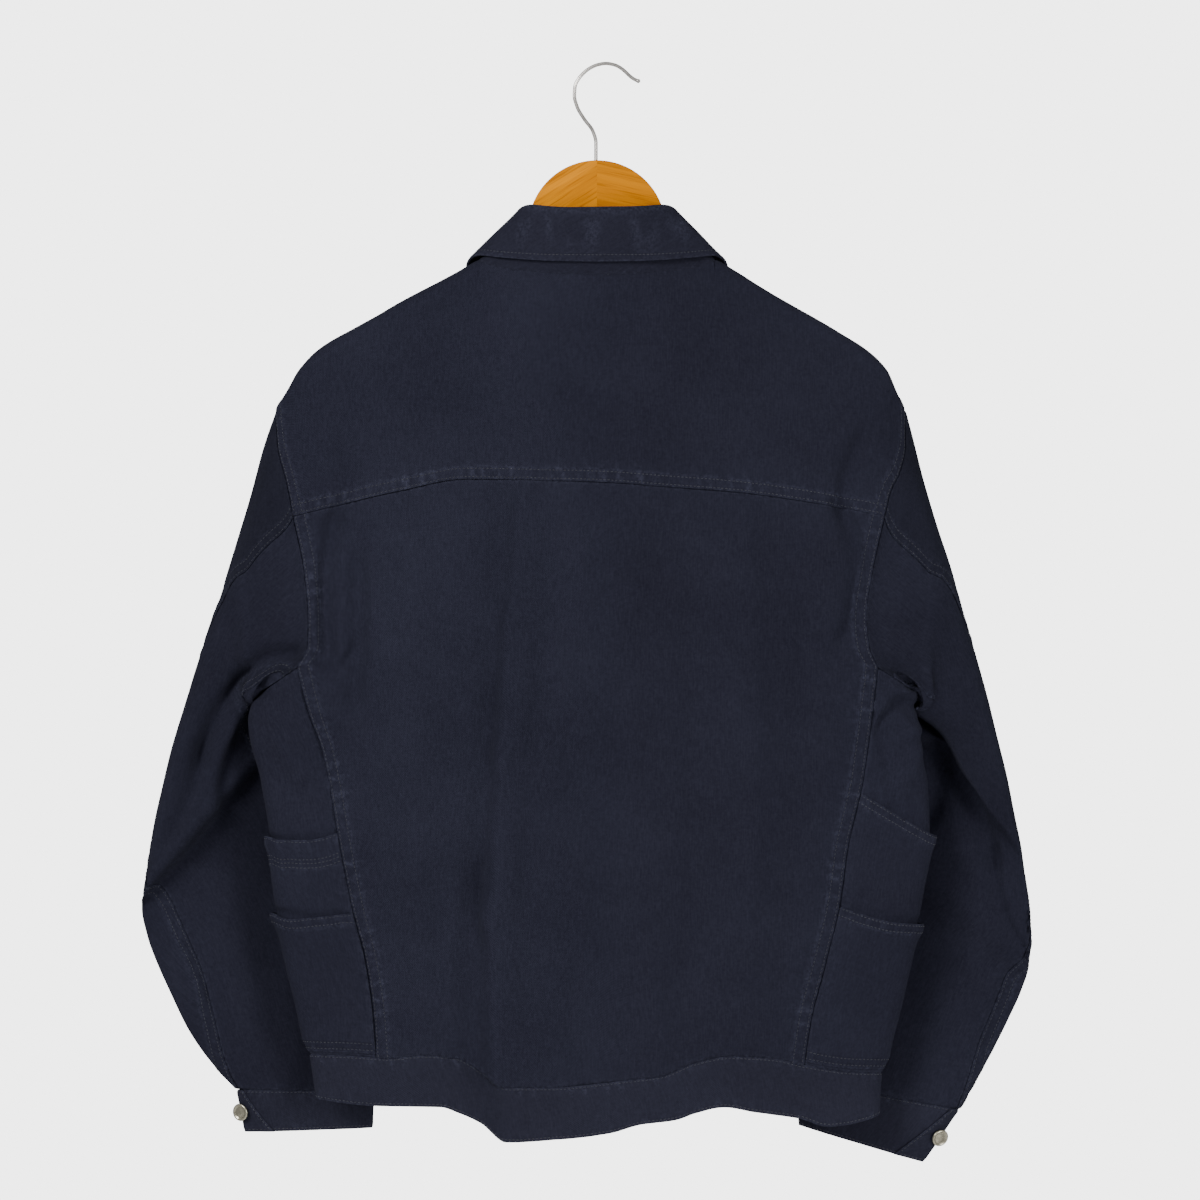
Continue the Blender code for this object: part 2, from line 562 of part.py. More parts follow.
def seam_down(side, face):
    """A side seam as (x, z) below the armhole; the front one starts from the scooped armhole."""
    top = ARMHOLE_BACK[side][-1][0]
    line = smooth_line(SIDE_BACK_SEAM[side])
    z_low = float(waist_seam_back(line(WAIST_Z)))
    z = np.linspace(top, z_low, LOWER_ROWS + 1)
    x = line(z)
    if face > 0:
        x = x + (armhole_front_x(top, side) - x[0]) * smooth_step((z - z_low) / (top - z_low))
        foot_turn = turn_of(x[-1], WAIST_Z, +1)
        z = np.linspace(top, float(waist_z(np.array(foot_turn))), LOWER_ROWS + 1)
    return np.stack([x, z], axis=1)


# ----------------------------------------------------------------------------------- body panels
def yoke_top():
    """The yoke's upper edge as (x, q): shoulder seam, round the neck, shoulder seam."""
    fold = -CAP * math.pi / 2
    rows = []
    for side in (-1, 1):
        turn = neck_seam_angle(side)
        tip = ARMHOLE_BACK[side][0][1]
        shoulder_x = np.linspace(tip, neck_x(side * turn), SHOULDER_COLUMNS + 1)
        line = [(x, fold) for x in shoulder_x]
        for angle in NECK_ANGLES:
            x = float(neck_x(side * angle))
            line.append((x, float(back_q(x, neck_z(angle)))))
        rows.append(line)
    return np.array(rows[0] + rows[1][-2::-1])


def yoke_grid():
    """Rows keep fixed steps over the fold, then spread evenly down to the yoke seam."""
    top = yoke_top()
    left, right = yoke_edge(-1), yoke_edge(+1)
    bottom_x = np.linspace(left[-1, 0], right[-1, 0], len(top))
    bottom_q = back_q(bottom_x, yoke_seam(bottom_x))
    fold_steps = np.linspace(0.0, CAP * math.pi, CAP_STEPS + 1)
    share = np.linspace(0.0, 1.0, YOKE_ROWS + 1)[1:, None]
    start = top[None, :, 1] + fold_steps[:, None]
    q = np.concatenate([start, start[-1] + (bottom_q - start[-1]) * share])
    down = (q - q[0]) / (q[-1] - q[0])
    x = top[:, 0] + (bottom_x - top[:, 0]) * down
    s = np.linspace(0.0, 1.0, len(top))
    x = x + (left[:, 0] - x[:, 0])[:, None] * (1 - s) ** 2 + (right[:, 0] - x[:, -1])[:, None] * s ** 2
    q[:, 0], q[:, -1] = left[:, 1], right[:, 1]
    return x, q


def back_edge(side):
    """A side of the back panel as (x, q): down the armhole, then down the side-back seam."""
    z = np.linspace(YOKE_SEAM[0][1], ARMHOLE_BACK[side][-1][0], BACK_ARM_ROWS + 1)
    arm = np.stack([armhole_back_x(side)(z), z], axis=1)
    line = np.concatenate([arm[:-1], seam_down(side, -1)])
    return np.stack([line[:, 0], back_q(line[:, 0], line[:, 1])], axis=1)


def back_grid(columns):
    left, right = back_edge(-1), back_edge(+1)
    x = np.linspace(left[0, 0], right[0, 0], columns)
    top = np.stack([x, back_q(x, yoke_seam(x))], axis=1)
    low_x = np.linspace(left[-1, 0], right[-1, 0], columns)
    bottom = np.stack([low_x, back_q(low_x, waist_seam_back(low_x))], axis=1)
    grid = between_edges(left, right, top, bottom)
    return grid[..., 0], grid[..., 1]


def side_grid(side):
    """Side panel in (turn, z) between its two seams."""
    top = side_top(side)
    seams = []
    for face in (-1, +1):
        line = seam_down(side, face)
        turns = [float(turn_of(x, z, face)) for x, z in line]
        seams.append(np.stack([turns, line[:, 1]], axis=1))
    turn = np.linspace(seams[0][-1, 0], seams[1][-1, 0], SIDE_COLUMNS + 1)
    bottom = np.stack([turn, waist_z(turn)], axis=1)
    bottom[0], bottom[-1] = seams[0][-1], seams[1][-1]
    grid = between_edges(seams[0], seams[1], top, bottom)
    return grid[..., 0], grid[..., 1]


def front_edge(side):
    """The outer side of a front as (x, q): down the armhole, then down the side-front seam."""
    tip_z = ARMHOLE_BACK[side][0][0]
    z = np.linspace(tip_z - CAP, ARMHOLE_BACK[side][-1][0], FRONT_ARM_ROWS + 1)
    x = armhole_front_x(z, side)
    x[0] = ARMHOLE_BACK[side][0][1]
    line = np.concatenate([np.stack([x, z], axis=1)[:-1], seam_down(side, +1)])
    q = front_q(line[:, 0], line[:, 1])
    q[0] = 0.0
    return np.stack([line[:, 0], q], axis=1)


def front_grid(side):
    """A front between its armhole and its closing edge, which passes the middle."""
    turn = neck_seam_angle(side)
    tip = ARMHOLE_BACK[side][0][1]
    shoulder = [(x, 0.0) for x in np.linspace(tip, neck_x(side * turn), SHOULDER_COLUMNS + 1)]
    neck = [(float(neck_x(side * a)), float(front_q(neck_x(side * a), neck_z(a))))
            for a in FRONT_NECK_ANGLES]
    closing_x = CENTRE_X - side * FRONT_LAP
    low_z = NECK_SIDE_Z - NECK_FRONT_DROP
    neck.append((CENTRE_X, float(front_q(CENTRE_X, low_z))))
    neck.append((closing_x, float(front_q(closing_x, low_z))))
    top = np.array(shoulder + neck)
    outer = front_edge(side)
    turns = [side * (float(turn_of(x, WAIST_Z, +1)) * side % 360.0)
             for x in (outer[-1, 0], closing_x)]
    bottom_turn = np.linspace(turns[0], turns[1], len(top))
    bottom_z = waist_z(bottom_turn)
    bottom_x = np.array([ring_chart(np.array(t), np.array(z))[0]
                         for t, z in zip(bottom_turn, bottom_z)])
    bottom_x[0] = outer[-1, 0]
    bottom = np.stack([bottom_x, front_q(bottom_x, bottom_z)], axis=1)
    bottom[0] = outer[-1]
    closing = np.stack([np.linspace(closing_x, bottom_x[-1], len(outer)),
                        np.linspace(top[-1, 1], bottom[-1, 1], len(outer))], axis=1)
    grid = between_edges(outer, closing, top, bottom)
    return grid[..., 0], grid[..., 1]


def add_panel(name, chart, grid, steps, outward, finish, parts):
    a, b = grid
    points = chart(a, b)
    normals = normals_of(chart, a, b, steps[0], steps[1], outward)
    add_wall(name, points, normals, -WALL, 0.0, finish, parts)
    return points, normals


def build_body(parts):
    """Yoke, back, side panels and fronts; returns the side panels' grids for the pockets."""
    x, q = yoke_grid()
    add_panel("back_yoke", back_chart, (x, q), (0.4, 0.4), (0, -1, 0.2), "twill", parts)
    grid = back_grid(x.shape[1])
    add_panel("back_panel", back_chart, grid, (0.4, 0.4), (0, -1, 0), "twill", parts)
    sides = {}
    for side, word in ((-1, "left"), (1, "right")):
        turn, z = side_grid(side)
        points, normals = add_panel("side_panel_" + word, ring_chart, (turn, z), (0.4, 0.4),
                                    (side, 0, 0), "twill", parts)
        sides[word] = (points, normals)
        chart = front_chart if side < 0 else right_front_chart
        add_panel("front_" + word, chart, front_grid(side), (0.4, 0.4), (0, 1, 0), "twill", parts)
    return sides


# --------------------------------------------------------------------------------------- pockets
def rows_at(grid, row):
    """Points of a grid at fractional rows: one row number for each column, or several rows of them."""
    low = np.clip(np.floor(row).astype(int), 0, grid.shape[0] - 2)
    share = (row - low)[..., None]
    column = np.arange(grid.shape[1])
    return grid[low, column] * (1 - share) + grid[low + 1, column] * share


def build_pockets(sides, parts):
    """Each patch is made from its side panel's own points, moved out; the lower one lies on top."""
    lift = {"upper": GAP + 0.1, "lower": GAP + 0.1 + PATCH_WALL + GAP + 0.1}
    for (word, level), opening in POCKET_OPENINGS.items():
        points, normals = sides[word]
        line = smooth_line(opening)
        opening_row = []
        for column in range(points.shape[1]):
            strip = points[:, column]
            above = strip[:, 2] - line(strip[:, 0])
            opening_row.append(np.interp(0.0, -above, np.arange(len(strip))))
        opening_row = np.array(opening_row)
        first_whole = int(math.ceil(opening_row.max() + 0.25))
        last = points.shape[0] - 1.15
        whole = list(range(first_whole, points.shape[0] - 1)) + [last]
        rows = [opening_row]
        if opening_row.max() - opening_row.min() > 0.8:
            rows.append((opening_row + first_whole) / 2)
        rows = np.array(rows + [np.full(len(opening_row), float(w)) for w in whole])
        low = lift[level]
        name = "side_pocket_" + word + ("_lower" if level == "lower" else "")
        normal = rows_at(normals, rows)
        normal /= np.linalg.norm(normal, axis=-1, keepdims=True)
        add_wall(name, rows_at(points, rows), normal, low, low + PATCH_WALL,
                 "twill_pocket", parts, draw=1.2)


# ------------------------------------------------------------------------------------- waistband
def build_waistband(columns, parts):
    """One band round the ring; its left end lies over its right end at the front."""
    back_turns = [float(turn_of(*seam_down(side, -1)[-1], -1)) for side in (-1, 1)]
    front_turns = [float(turn_of(*seam_down(side, +1)[-1], +1)) for side in (-1, 1)]
    low_x = np.linspace(seam_down(-1, -1)[-1, 0], seam_down(1, -1)[-1, 0], columns)
    across_back = [float(turn_of(x, float(waist_seam_back(x)), -1)) for x in low_x]
    lap = 180.0 - abs(float(turn_of(CENTRE_X - FRONT_LAP, WAIST_Z, +1)))
    left_front = np.linspace(-180.0 - lap, front_turns[0], BAND_FRONT_COLUMNS + 1)
    left_side = np.linspace(front_turns[0], back_turns[0], SIDE_COLUMNS + 1)[1:]
    right_side = np.linspace(back_turns[1], front_turns[1], SIDE_COLUMNS + 1)[1:]
    right_front = np.linspace(front_turns[1], 180.0 + lap, BAND_FRONT_COLUMNS + 1)[1:]
    turn = np.concatenate([left_front, left_side, across_back[1:], right_side, right_front])
    seam, hem = waist_z(turn), hem_z(turn)
    share = np.array([0.0, 0.5, 1.0])[:, None]
    turns = np.repeat(turn[None], len(share), axis=0)
    z = seam + (hem - seam) * share
    points = ring_chart(turns, z)
    normals = normals_of(ring_chart, turns, z, 0.4, 0.4, (0, -1, 0))
    reach = 180.0 - turns
    step = smooth_step((2.2 * lap - reach) / lap) * (BAND_WALL + 0.4)
    points = points - normals * step[..., None]
    add_wall("waistband", points, normals, -BAND_WALL, 0.0, "twill_band", parts)


# ---------------------------------------------------------------------------------------- collar
def roll_point(angle):
    """Roll line of the collar: an oval round the neck that sinks towards the front ends."""
    turn = np.radians(angle)
    depth = np.where(np.cos(turn) > 0.0, ROLL_BACK_Y, ROLL_FRONT_Y)
    sink = ROLL_FRONT_DROP * smooth_step((np.abs(angle) - 95.0) / 85.0)
    return np.stack([CENTRE_X + ROLL_HALF * np.sin(turn), depth * np.abs(np.cos(turn)),
                     ROLL_Z - sink], axis=-1)


def fall_point(angle):
    size = np.abs(angle)
    half = smooth_line(FALL_EDGE, 1)(size)
    return np.stack([CENTRE_X + np.sign(angle) * half, smooth_line(FALL_EDGE, 2)(size),
                     smooth_line(FALL_EDGE, 3)(size)], axis=-1)


def collar_angles():
    behind = np.linspace(-90.0, 90.0, 13)
    front = np.linspace(90.0, NECK_END, 8)[1:]
    return np.concatenate([-front[::-1], behind, front])


def stand_chart(angle, share):
    """The stand: straight from the neck seam to the roll line, a little hollow."""
    foot, head = neck_point(angle), roll_point(angle)
    share = np.asarray(share)[..., None]
    return foot + (head - foot) * (STAND_START + (STAND_END - STAND_START) * share)


def fall_chart(angle, share):
    """The fall: half a turn over the roll line, then down to the free edge."""
    head, edge = roll_point(angle), fall_point(angle)
    out = edge - head
    out[..., 2] = 0.0
    out /= np.linalg.norm(out, axis=-1, keepdims=True)
    bend = np.clip(share / 0.2, 0.0, 1.0) * math.radians(150.0)
    over = head + out * (ROLL_RADIUS * (1.0 - np.cos(bend)))[..., None]
    over[..., 2] += ROLL_RADIUS * np.sin(bend)
    fall = np.clip((share - 0.2) / 0.8, 0.0, 1.0)[..., None]
    return over + (edge - over) * fall


def build_collar(parts):
    angle = collar_angles()
    share = np.linspace(0.0, 1.0, 3)
    a, b = np.meshgrid(angle, share)
    points = stand_chart(a, b)
    normals = normals_of(stand_chart, a, b, 0.4, 0.02, (0, -1, 0))
    add_wall("collar_stand", points, normals, -COLLAR_WALL, 0.0, "twill_collar", parts, draw=GAP)
    share = np.array([0.0, 0.07, 0.14, 0.2, 0.45, 0.72, 1.0])
    a, b = np.meshgrid(angle, share)
    points = fall_chart(a, b)
    normals = normals_of(fall_chart, a, b, 0.4, 0.01, (0, -1, 0))
    add_wall("collar_leaf", points, normals, 0.0, COLLAR_WALL, "twill_collar", parts, draw=0.1)


# --------------------------------------------------------------------------------------- sleeves
def armhole_points(side):
    """The whole armhole in order: over the yoke, down the back, round the foot, up the front."""
    yoke = yoke_edge(side)
    ridge_row = CAP_STEPS // 2
    behind = back_edge(side)[:BACK_ARM_ROWS + 1]
    foot = side_top(side)
    front = front_edge(side)[:FRONT_ARM_ROWS + 1][::-1]
    stretches = [(back_chart, yoke[ridge_row:], (0, -1, 0)), (back_chart, behind[1:], (0, -1, 0)),
                 (ring_chart, foot[1:], (side, 0, 0)), (front_chart, front[1:], (0, 1, 0)),
                 (back_chart, yoke[1:ridge_row + 1], (0, 1, 0.5))]
    points = np.concatenate([chart(line[:, 0], line[:, 1]) for chart, line, _ in stretches])
    normals = np.concatenate([normals_of(chart, line[None, :, 0], line[None, :, 1], 0.4, 0.4, out)[0]
                              for chart, line, out in stretches])
    yoke_corner = len(yoke) - 1 - ridge_row
    armpit = yoke_corner + BACK_ARM_ROWS + SIDE_COLUMNS // 2
    return points, normals, yoke_corner, armpit


def armhole_turns(points, armpit):
    """The turn of each armhole point: 0 at the shoulder, 0.5 at the armpit, 1 at the shoulder."""
    run = np.concatenate([[0.0], np.cumsum(np.linalg.norm(np.diff(points, axis=0), axis=1))])
    back = 0.5 * run[:armpit + 1] / run[armpit]
    front = 0.5 + 0.5 * (run[armpit + 1:] - run[armpit]) / (run[-1] - run[armpit])
    return np.concatenate([back, front])


def oval(row, turn):
    """A sleeve ring: from its outer point to its inner one, bulging back and then front."""
    angle = 2.0 * math.pi * turn
    outer = row[..., 0:3]
    inner = row[..., 3:6]
    reach = signed_power(np.cos(angle), 2.0 / SLEEVE_POWER)[..., None]
    point = (outer + inner) / 2 + (outer - inner) / 2 * reach
    bulge = signed_power(np.sin(angle), 2.0 / SLEEVE_POWER)
    depth = np.where(bulge > 0.0, row[..., 6], row[..., 7])
    x, z, y = point[..., 0], point[..., 1], point[..., 2] - depth * bulge
    return np.stack([x, y, z], axis=-1)


def sleeve_chart(side, table):
    """The sleeve's surface as a function of the turn and of the ring's number."""
    rows = [(float(number), *row) for number, row in enumerate(table)]
    lines = [smooth_line(rows, column) for column in range(1, 9)]
    points, _, _, armpit = armhole_points(side)
    turns = armhole_turns(points, armpit)
    first = np.array(table[0])

    def chart(turn, station):
        row = np.stack([line(station) for line in lines], axis=-1)
        whole = turn % 1.0
        start = np.stack([np.interp(whole, turns, points[:, k]) for k in range(3)], axis=-1)
        slack = (start - oval(first, whole)) * (1.0 - smooth_step(station / ARMHOLE_EASE))[..., None]
        return oval(row, turn) + slack
    return chart


def sleeve_piece_turns(start, end, first_turns, station):
    """Turns of a piece's columns: the armhole's own points first, then evenly between its seams."""
    first = (first_turns - first_turns[0]) / (first_turns[-1] - first_turns[0])
    even = np.linspace(0.0, 1.0, len(first))
    mix = smooth_step(station / 4.0)
    return start + (end - start) * (first + (even - first) * mix)


def build_sleeve(side, table, parts):
    """Two pieces: the under sleeve shows behind, the over sleeve wraps the outside and the front."""
    word = "left" if side < 0 else "right"
    points, body_normals, corner, armpit = armhole_points(side)
    turns = armhole_turns(points, armpit)
    chart = sleeve_chart(side, table)
    seam_end = armpit - INNER_SEAM_STEP
    seams = [(0.0, turns[corner], turns[seam_end])] + SLEEVE_SEAMS
    back_seam, inner_seam = smooth_line(seams, 1), smooth_line(seams, 2)
    over_turns = np.concatenate([turns[seam_end:-1], 1.0 + turns[:corner + 1]])
    over_normals = np.concatenate([body_normals[seam_end:-1], body_normals[:corner + 1]])
    pieces = {"under": (turns[corner:seam_end + 1], back_seam, inner_seam, 0.0,
                        body_normals[corner:seam_end + 1]),
              "over": (over_turns, inner_seam, back_seam, 1.0, over_normals)}
    station = np.array(SLEEVE_STATIONS)
    for kind, (first_turns, start, end, lap, armhole_normals) in pieces.items():
        turn = np.array([sleeve_piece_turns(start(s), end(s) + lap, first_turns, s)
                         for s in station])
        stations = np.repeat(station[:, None], turn.shape[1], axis=1)
        surface = chart(turn, stations)
        middle = len(station) // 2
        centre = chart(np.linspace(0.0, 1.0, 24), np.full(24, station[middle])).mean(axis=0)
        outward = surface[middle, turn.shape[1] // 2] - centre
        normals = normals_of(chart, turn, stations, 0.002, 0.02, outward)
        normals[0] = start_normals(armhole_normals, normals[0])
        add_wall("sleeve_" + word + "_" + kind, surface, normals, -WALL, 0.0, "twill", parts,
                 draw=1.5 * SEAM_DRAW, first_draw=ARMHOLE_DRAW)


def start_normals(body, sleeve):
    """At the armhole the sleeve's wall leans like the body's, wherever the two run on smoothly."""
    match = np.clip((np.sum(body * sleeve, axis=1) + 0.1) / 0.4, 0.0, 1.0)[:, None]
    mixed = sleeve * (1 - match) + body * match
    return mixed / np.linalg.norm(mixed, axis=1, keepdims=True)


def build_cuff(side, table, end_row, parts):
    """A band on the sleeve's last ring; its outer end laps over the other one beside the slit."""
    word = "left" if side < 0 else "right"
    top, low = np.array(table[-1]), np.array(end_row)
    start = SLEEVE_SEAMS[-1][1] - CUFF_LAP / 2
    turn = np.linspace(start, start + 1.0 + CUFF_LAP, CUFF_COLUMNS + 1)

    def chart(a, b):
        row = top + (low - top) * b[..., None]
        return oval(row, a)
    a, b = np.meshgrid(turn, np.array([0.0, 0.5, 1.0]))
    points = chart(a, b)
    outward = points[1, CUFF_COLUMNS // 2] - points[1].mean(axis=0)
    normals = normals_of(chart, a, b, 0.004, 0.02, outward)
    lap = smooth_step((a - turn[0]) / CUFF_LAP - 0.3) - 1.0
    points = points + normals * (lap * (BAND_WALL + 0.5))[..., None]
    add_wall("cuff_" + word, points, normals, -BAND_WALL, 0.0, "twill_band", parts,
             draw=2.0 * SEAM_DRAW)
    a, b = np.array([[turn[-1] - 0.6 * CUFF_LAP]]), np.array([[CUFF_BUTTON_DOWN]])
    place = chart(a, b)[0, 0]
    normal = normals_of(chart, a, b, 0.004, 0.02, place - points[1].mean(axis=0))[0, 0]
    add_button("cuff_button_" + word, place, normal, parts)


# --------------------------------------------------------------------------- buttons and hanger
def add_button(name, place, normal, parts):
    """A flat metal button, its back a hair off the cloth, turned to the cloth's own direction."""
    bpy.ops.mesh.primitive_cylinder_add(vertices=14, radius=BUTTON_D / 2 * MM, depth=BUTTON_T * MM)
    button = bpy.context.object
    button.name = name
    button.rotation_euler = Vector(normal).to_track_quat("Z", "Y").to_euler()
    seat = np.asarray(place) + np.asarray(normal) * (GAP + 0.4 + BUTTON_T / 2)
    button.location = Vector(seat * MM)
    edge = button.modifiers.new("rounded_edge", "BEVEL")
    edge.width = 0.7 * MM
    edge.segments = 1
    for collection in list(button.users_collection):
        collection.objects.unlink(button)
    parts.objects.link(button)
    button.data.materials.append(principled(name, "button_metal"))


def build_front_buttons(parts):
    """Buttons down the middle of the left front, the last one on the waistband."""
    for number, z in enumerate(FRONT_BUTTONS_Z, start=1):
        x = np.array([[CENTRE_X]])
        q = front_q(x, z)
        normal = normals_of(front_chart, x, q, 0.4, 0.4, (0, 1, 0))[0, 0]
        add_button("front_button_%d" % number, front_chart(x, q)[0, 0], normal, parts)
    turn, z = np.array([[-179.5]]), np.array([[BAND_BUTTON_Z]])
    normal = normals_of(ring_chart, turn, z, 0.4, 0.4, (0, 1, 0))[0, 0]
    last = len(FRONT_BUTTONS_Z) + 1
    add_button("front_button_%d" % last, ring_chart(turn, z)[0, 0], normal, parts)


def wood_outline():
    """Seen from behind: the hump at the neck, the arms under the shoulder fold, the lower edge."""
    upper = {}
    for side in (-1, 1):
        xs = np.linspace(HUMP_X + side * 66.0, ARM_ENDS_X[side], 7)
        dip = WOOD_NECK_DIP * smooth_step((142.0 - np.abs(xs - HUMP_X)) / 30.0)
        upper[side] = list(zip(xs, ridge(xs) - WOOD_UNDER_RIDGE - dip))
    start = math.radians(-14.0)
    hump = [(HUMP_X + HUMP_R * math.cos(t), HUMP_Z + HUMP_R * math.sin(t))
            for t in np.linspace(start, math.pi - start, 17)]
    right_end = rounded_end(upper[1][-1], +1)
    left_end = rounded_end(upper[-1][-1], -1)
    return hump + upper[-1] + left_end + HANGER_UNDERSIDE + right_end[::-1] + upper[1][::-1]


def rounded_end(corner, side):
    """The arm's end: half a round below its upper corner, leaning with the arm."""
    x, z = corner
    lean = math.radians(ARM_END_LEAN) * side
    centre = (x - math.sin(lean) * ARM_END_R, z - math.cos(lean) * ARM_END_R)
    points = []
    for t in np.linspace(70.0, -90.0, 6):
        angle = math.radians(t)
        across, up = math.cos(angle) * ARM_END_R * side, math.sin(angle) * ARM_END_R
        points.append((centre[0] + across * math.cos(lean) + up * math.sin(lean),
                       centre[1] - across * math.sin(lean) + up * math.cos(lean)))
    return points


def build_hanger(parts, tools):
    """A flat outline of wood with rounded edges, bored for the hook, and the hook's bent wire."""
    outline = wood_outline()
    curve = bpy.data.curves.new("hanger_outline", "CURVE")
    curve.dimensions = "2D"
    curve.fill_mode = "BOTH"
    curve.extrude = (WOOD_T / 2 - WOOD_BEVEL) * MM
    curve.bevel_depth = WOOD_BEVEL * MM
    curve.bevel_resolution = 0
    curve.offset = -WOOD_BEVEL * MM
    spline = curve.splines.new("POLY")
    spline.points.add(len(outline) - 1)
    for point, (x, z) in zip(spline.points, outline):
        point.co = (x * MM, z * MM, 0.0, 1.0)
    spline.use_cyclic_u = True
    flat = bpy.data.objects.new("hanger_outline", curve)
    parts.objects.link(flat)
    flat.rotation_euler = (math.pi / 2, 0.0, 0.0)
    bpy.context.view_layer.update()
    evaluated = flat.evaluated_get(bpy.context.evaluated_depsgraph_get())
    mesh = bpy.data.meshes.new_from_object(evaluated)
    mesh.transform(flat.matrix_world)
    bpy.data.objects.remove(flat)
    work = bmesh.new()
    work.from_mesh(mesh)
    bmesh.ops.remove_doubles(work, verts=work.verts, dist=0.00002)
    bmesh.ops.recalc_face_normals(work, faces=work.faces)
    work.to_mesh(mesh)
    work.free()
    mesh.name = "hanger_wood"
    wood = add_object("hanger_wood", mesh, "varnished_wood", parts)

    top_z = HUMP_Z + HUMP_R
    bpy.ops.mesh.primitive_cylinder_add(vertices=12, radius=HOOK_BORE_D / 2 * MM,
                                        depth=2 * HOOK_DEPTH * MM,
                                        location=(HOOK_ROUTE[0][0] * MM, 0.0, top_z * MM))
    bore = bpy.context.object
    bore.name = "hook_bore"
    bore.hide_render = True
    bore.display_type = "WIRE"
    for collection in list(bore.users_collection):
        collection.objects.unlink(bore)
    tools.objects.link(bore)
    cut = wood.modifiers.new("hook_bore", "BOOLEAN")
    cut.object = bore
    cut.solver = "EXACT"

    wire = bpy.data.curves.new("hook", "CURVE")
    wire.dimensions = "3D"
    wire.bevel_depth = HOOK_WIRE_D / 2 * MM
    wire.bevel_resolution = 2
    wire.use_fill_caps = True
    route = hook_route()
    spline = wire.splines.new("POLY")
    spline.points.add(len(route) - 1)
    for point, (x, z) in zip(spline.points, route):
        point.co = (x * MM, 0.0, z * MM, 1.0)
    hook = bpy.data.objects.new("hook", wire)
    parts.objects.link(hook)
    wire.materials.append(principled("hook", "hook_wire"))


def hook_route():
    """The wire's middle line, smoothed through its named points and evenly stepped."""
    places = [(float(k), x, z) for k, (x, z) in enumerate(HOOK_ROUTE)]
    k = np.linspace(0.0, len(places) - 1.0, 160)
    dense = np.stack([smooth_line(places, 1)(k), smooth_line(places, 2)(k)], axis=1)
    return resampled(dense, 34)


def main():
    for item in list(bpy.data.objects):
        bpy.data.objects.remove(item)
    parts = bpy.data.collections.new("trucker_jacket")
    tools = bpy.data.collections.new("cutters")
    for collection in (parts, tools):
        bpy.context.scene.collection.children.link(collection)
    sides = build_body(parts)
    build_pockets(sides, parts)
    build_waistband(len(yoke_top()), parts)
    build_collar(parts)
    for side, table, end_row in ((-1, LEFT_SLEEVE, LEFT_CUFF_END),
                                 (1, RIGHT_SLEEVE, RIGHT_CUFF_END)):
        build_sleeve(side, table, parts)
        build_cuff(side, table, end_row, parts)
    build_front_buttons(parts)
    build_hanger(parts, tools)


main()
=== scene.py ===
"""
The looks of a navy twill trucker jacket on a varnished wooden hanger.

Every cloth piece is a thin shell on the form of its solid, with its seams, puckers, creases and
wear.  Tables are in millimetres and meshes in metres.  The back of the jacket looks along -Y, and
+X is the wearer's right.
"""
import math

import bmesh
import bpy
import numpy as np
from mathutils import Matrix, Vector


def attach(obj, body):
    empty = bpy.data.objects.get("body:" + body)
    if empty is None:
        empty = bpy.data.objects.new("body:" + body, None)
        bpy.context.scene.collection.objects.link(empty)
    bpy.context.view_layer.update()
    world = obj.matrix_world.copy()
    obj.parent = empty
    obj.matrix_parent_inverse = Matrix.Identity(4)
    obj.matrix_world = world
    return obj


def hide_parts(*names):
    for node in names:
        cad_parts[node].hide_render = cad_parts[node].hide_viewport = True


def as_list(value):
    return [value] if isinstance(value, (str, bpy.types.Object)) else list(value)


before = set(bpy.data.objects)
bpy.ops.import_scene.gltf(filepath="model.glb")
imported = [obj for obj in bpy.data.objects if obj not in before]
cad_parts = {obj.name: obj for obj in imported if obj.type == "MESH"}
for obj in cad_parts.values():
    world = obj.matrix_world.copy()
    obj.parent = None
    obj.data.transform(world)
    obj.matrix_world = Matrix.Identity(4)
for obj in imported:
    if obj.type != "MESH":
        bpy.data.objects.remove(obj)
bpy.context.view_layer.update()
MM = 0.001
SIDES = {-1: "left", 1: "right"}


def numbers(text):
    """Rows of numbers: a comma or a new line ends a row."""
    rows = text.replace("\n", ",").split(",")
    return [tuple(float(word) for word in row.split()) for row in rows if row.strip()]


# ---------------------------------------------------------------------------------- driving sizes
PATCH_WALL = 1.6            # cloth of a patch pocket
BAND_WALL = 2.6             # waistband and cuffs, folded double
COLLAR_WALL = 2.0
CLOTH = 1.5                 # thickness of a shell
GAP = 0.3                   # between two pieces at a seam
PATCH_GAP = GAP + 0.1       # and between a patch or a band and the cloth below it
SEAM_DRAW = 0.2             # how far each piece is drawn back from its seam line
ARMHOLE_DRAW = 0.5775       # and a sleeve from its armhole, where it turns away from the body
TUCK = 4.0                  # how far a plain edge runs on under its neighbour
TUCK_DOWN = 1.4
PATCH_CLOTH = 1.3           # thickness of the other shells, each a little under its solid's
BAND_CLOTH = 2.4
CUFF_CLOTH = 2.3
STAND_CLOTH = 1.8
FALL_CLOTH = 2.0
PATCH_DRAW = 0.25           # how far a patch and the collar's fall are drawn back
FALL_DRAW = 0.1

# Small steps along a chart's two ways, for its normals
BODY_STEP = (0.4, 0.4)
STAND_STEP = (0.4, 0.02)
FALL_STEP = (0.4, 0.01)
SLEEVE_STEP = (0.002, 0.02)
CUFF_STEP = (0.004, 0.02)

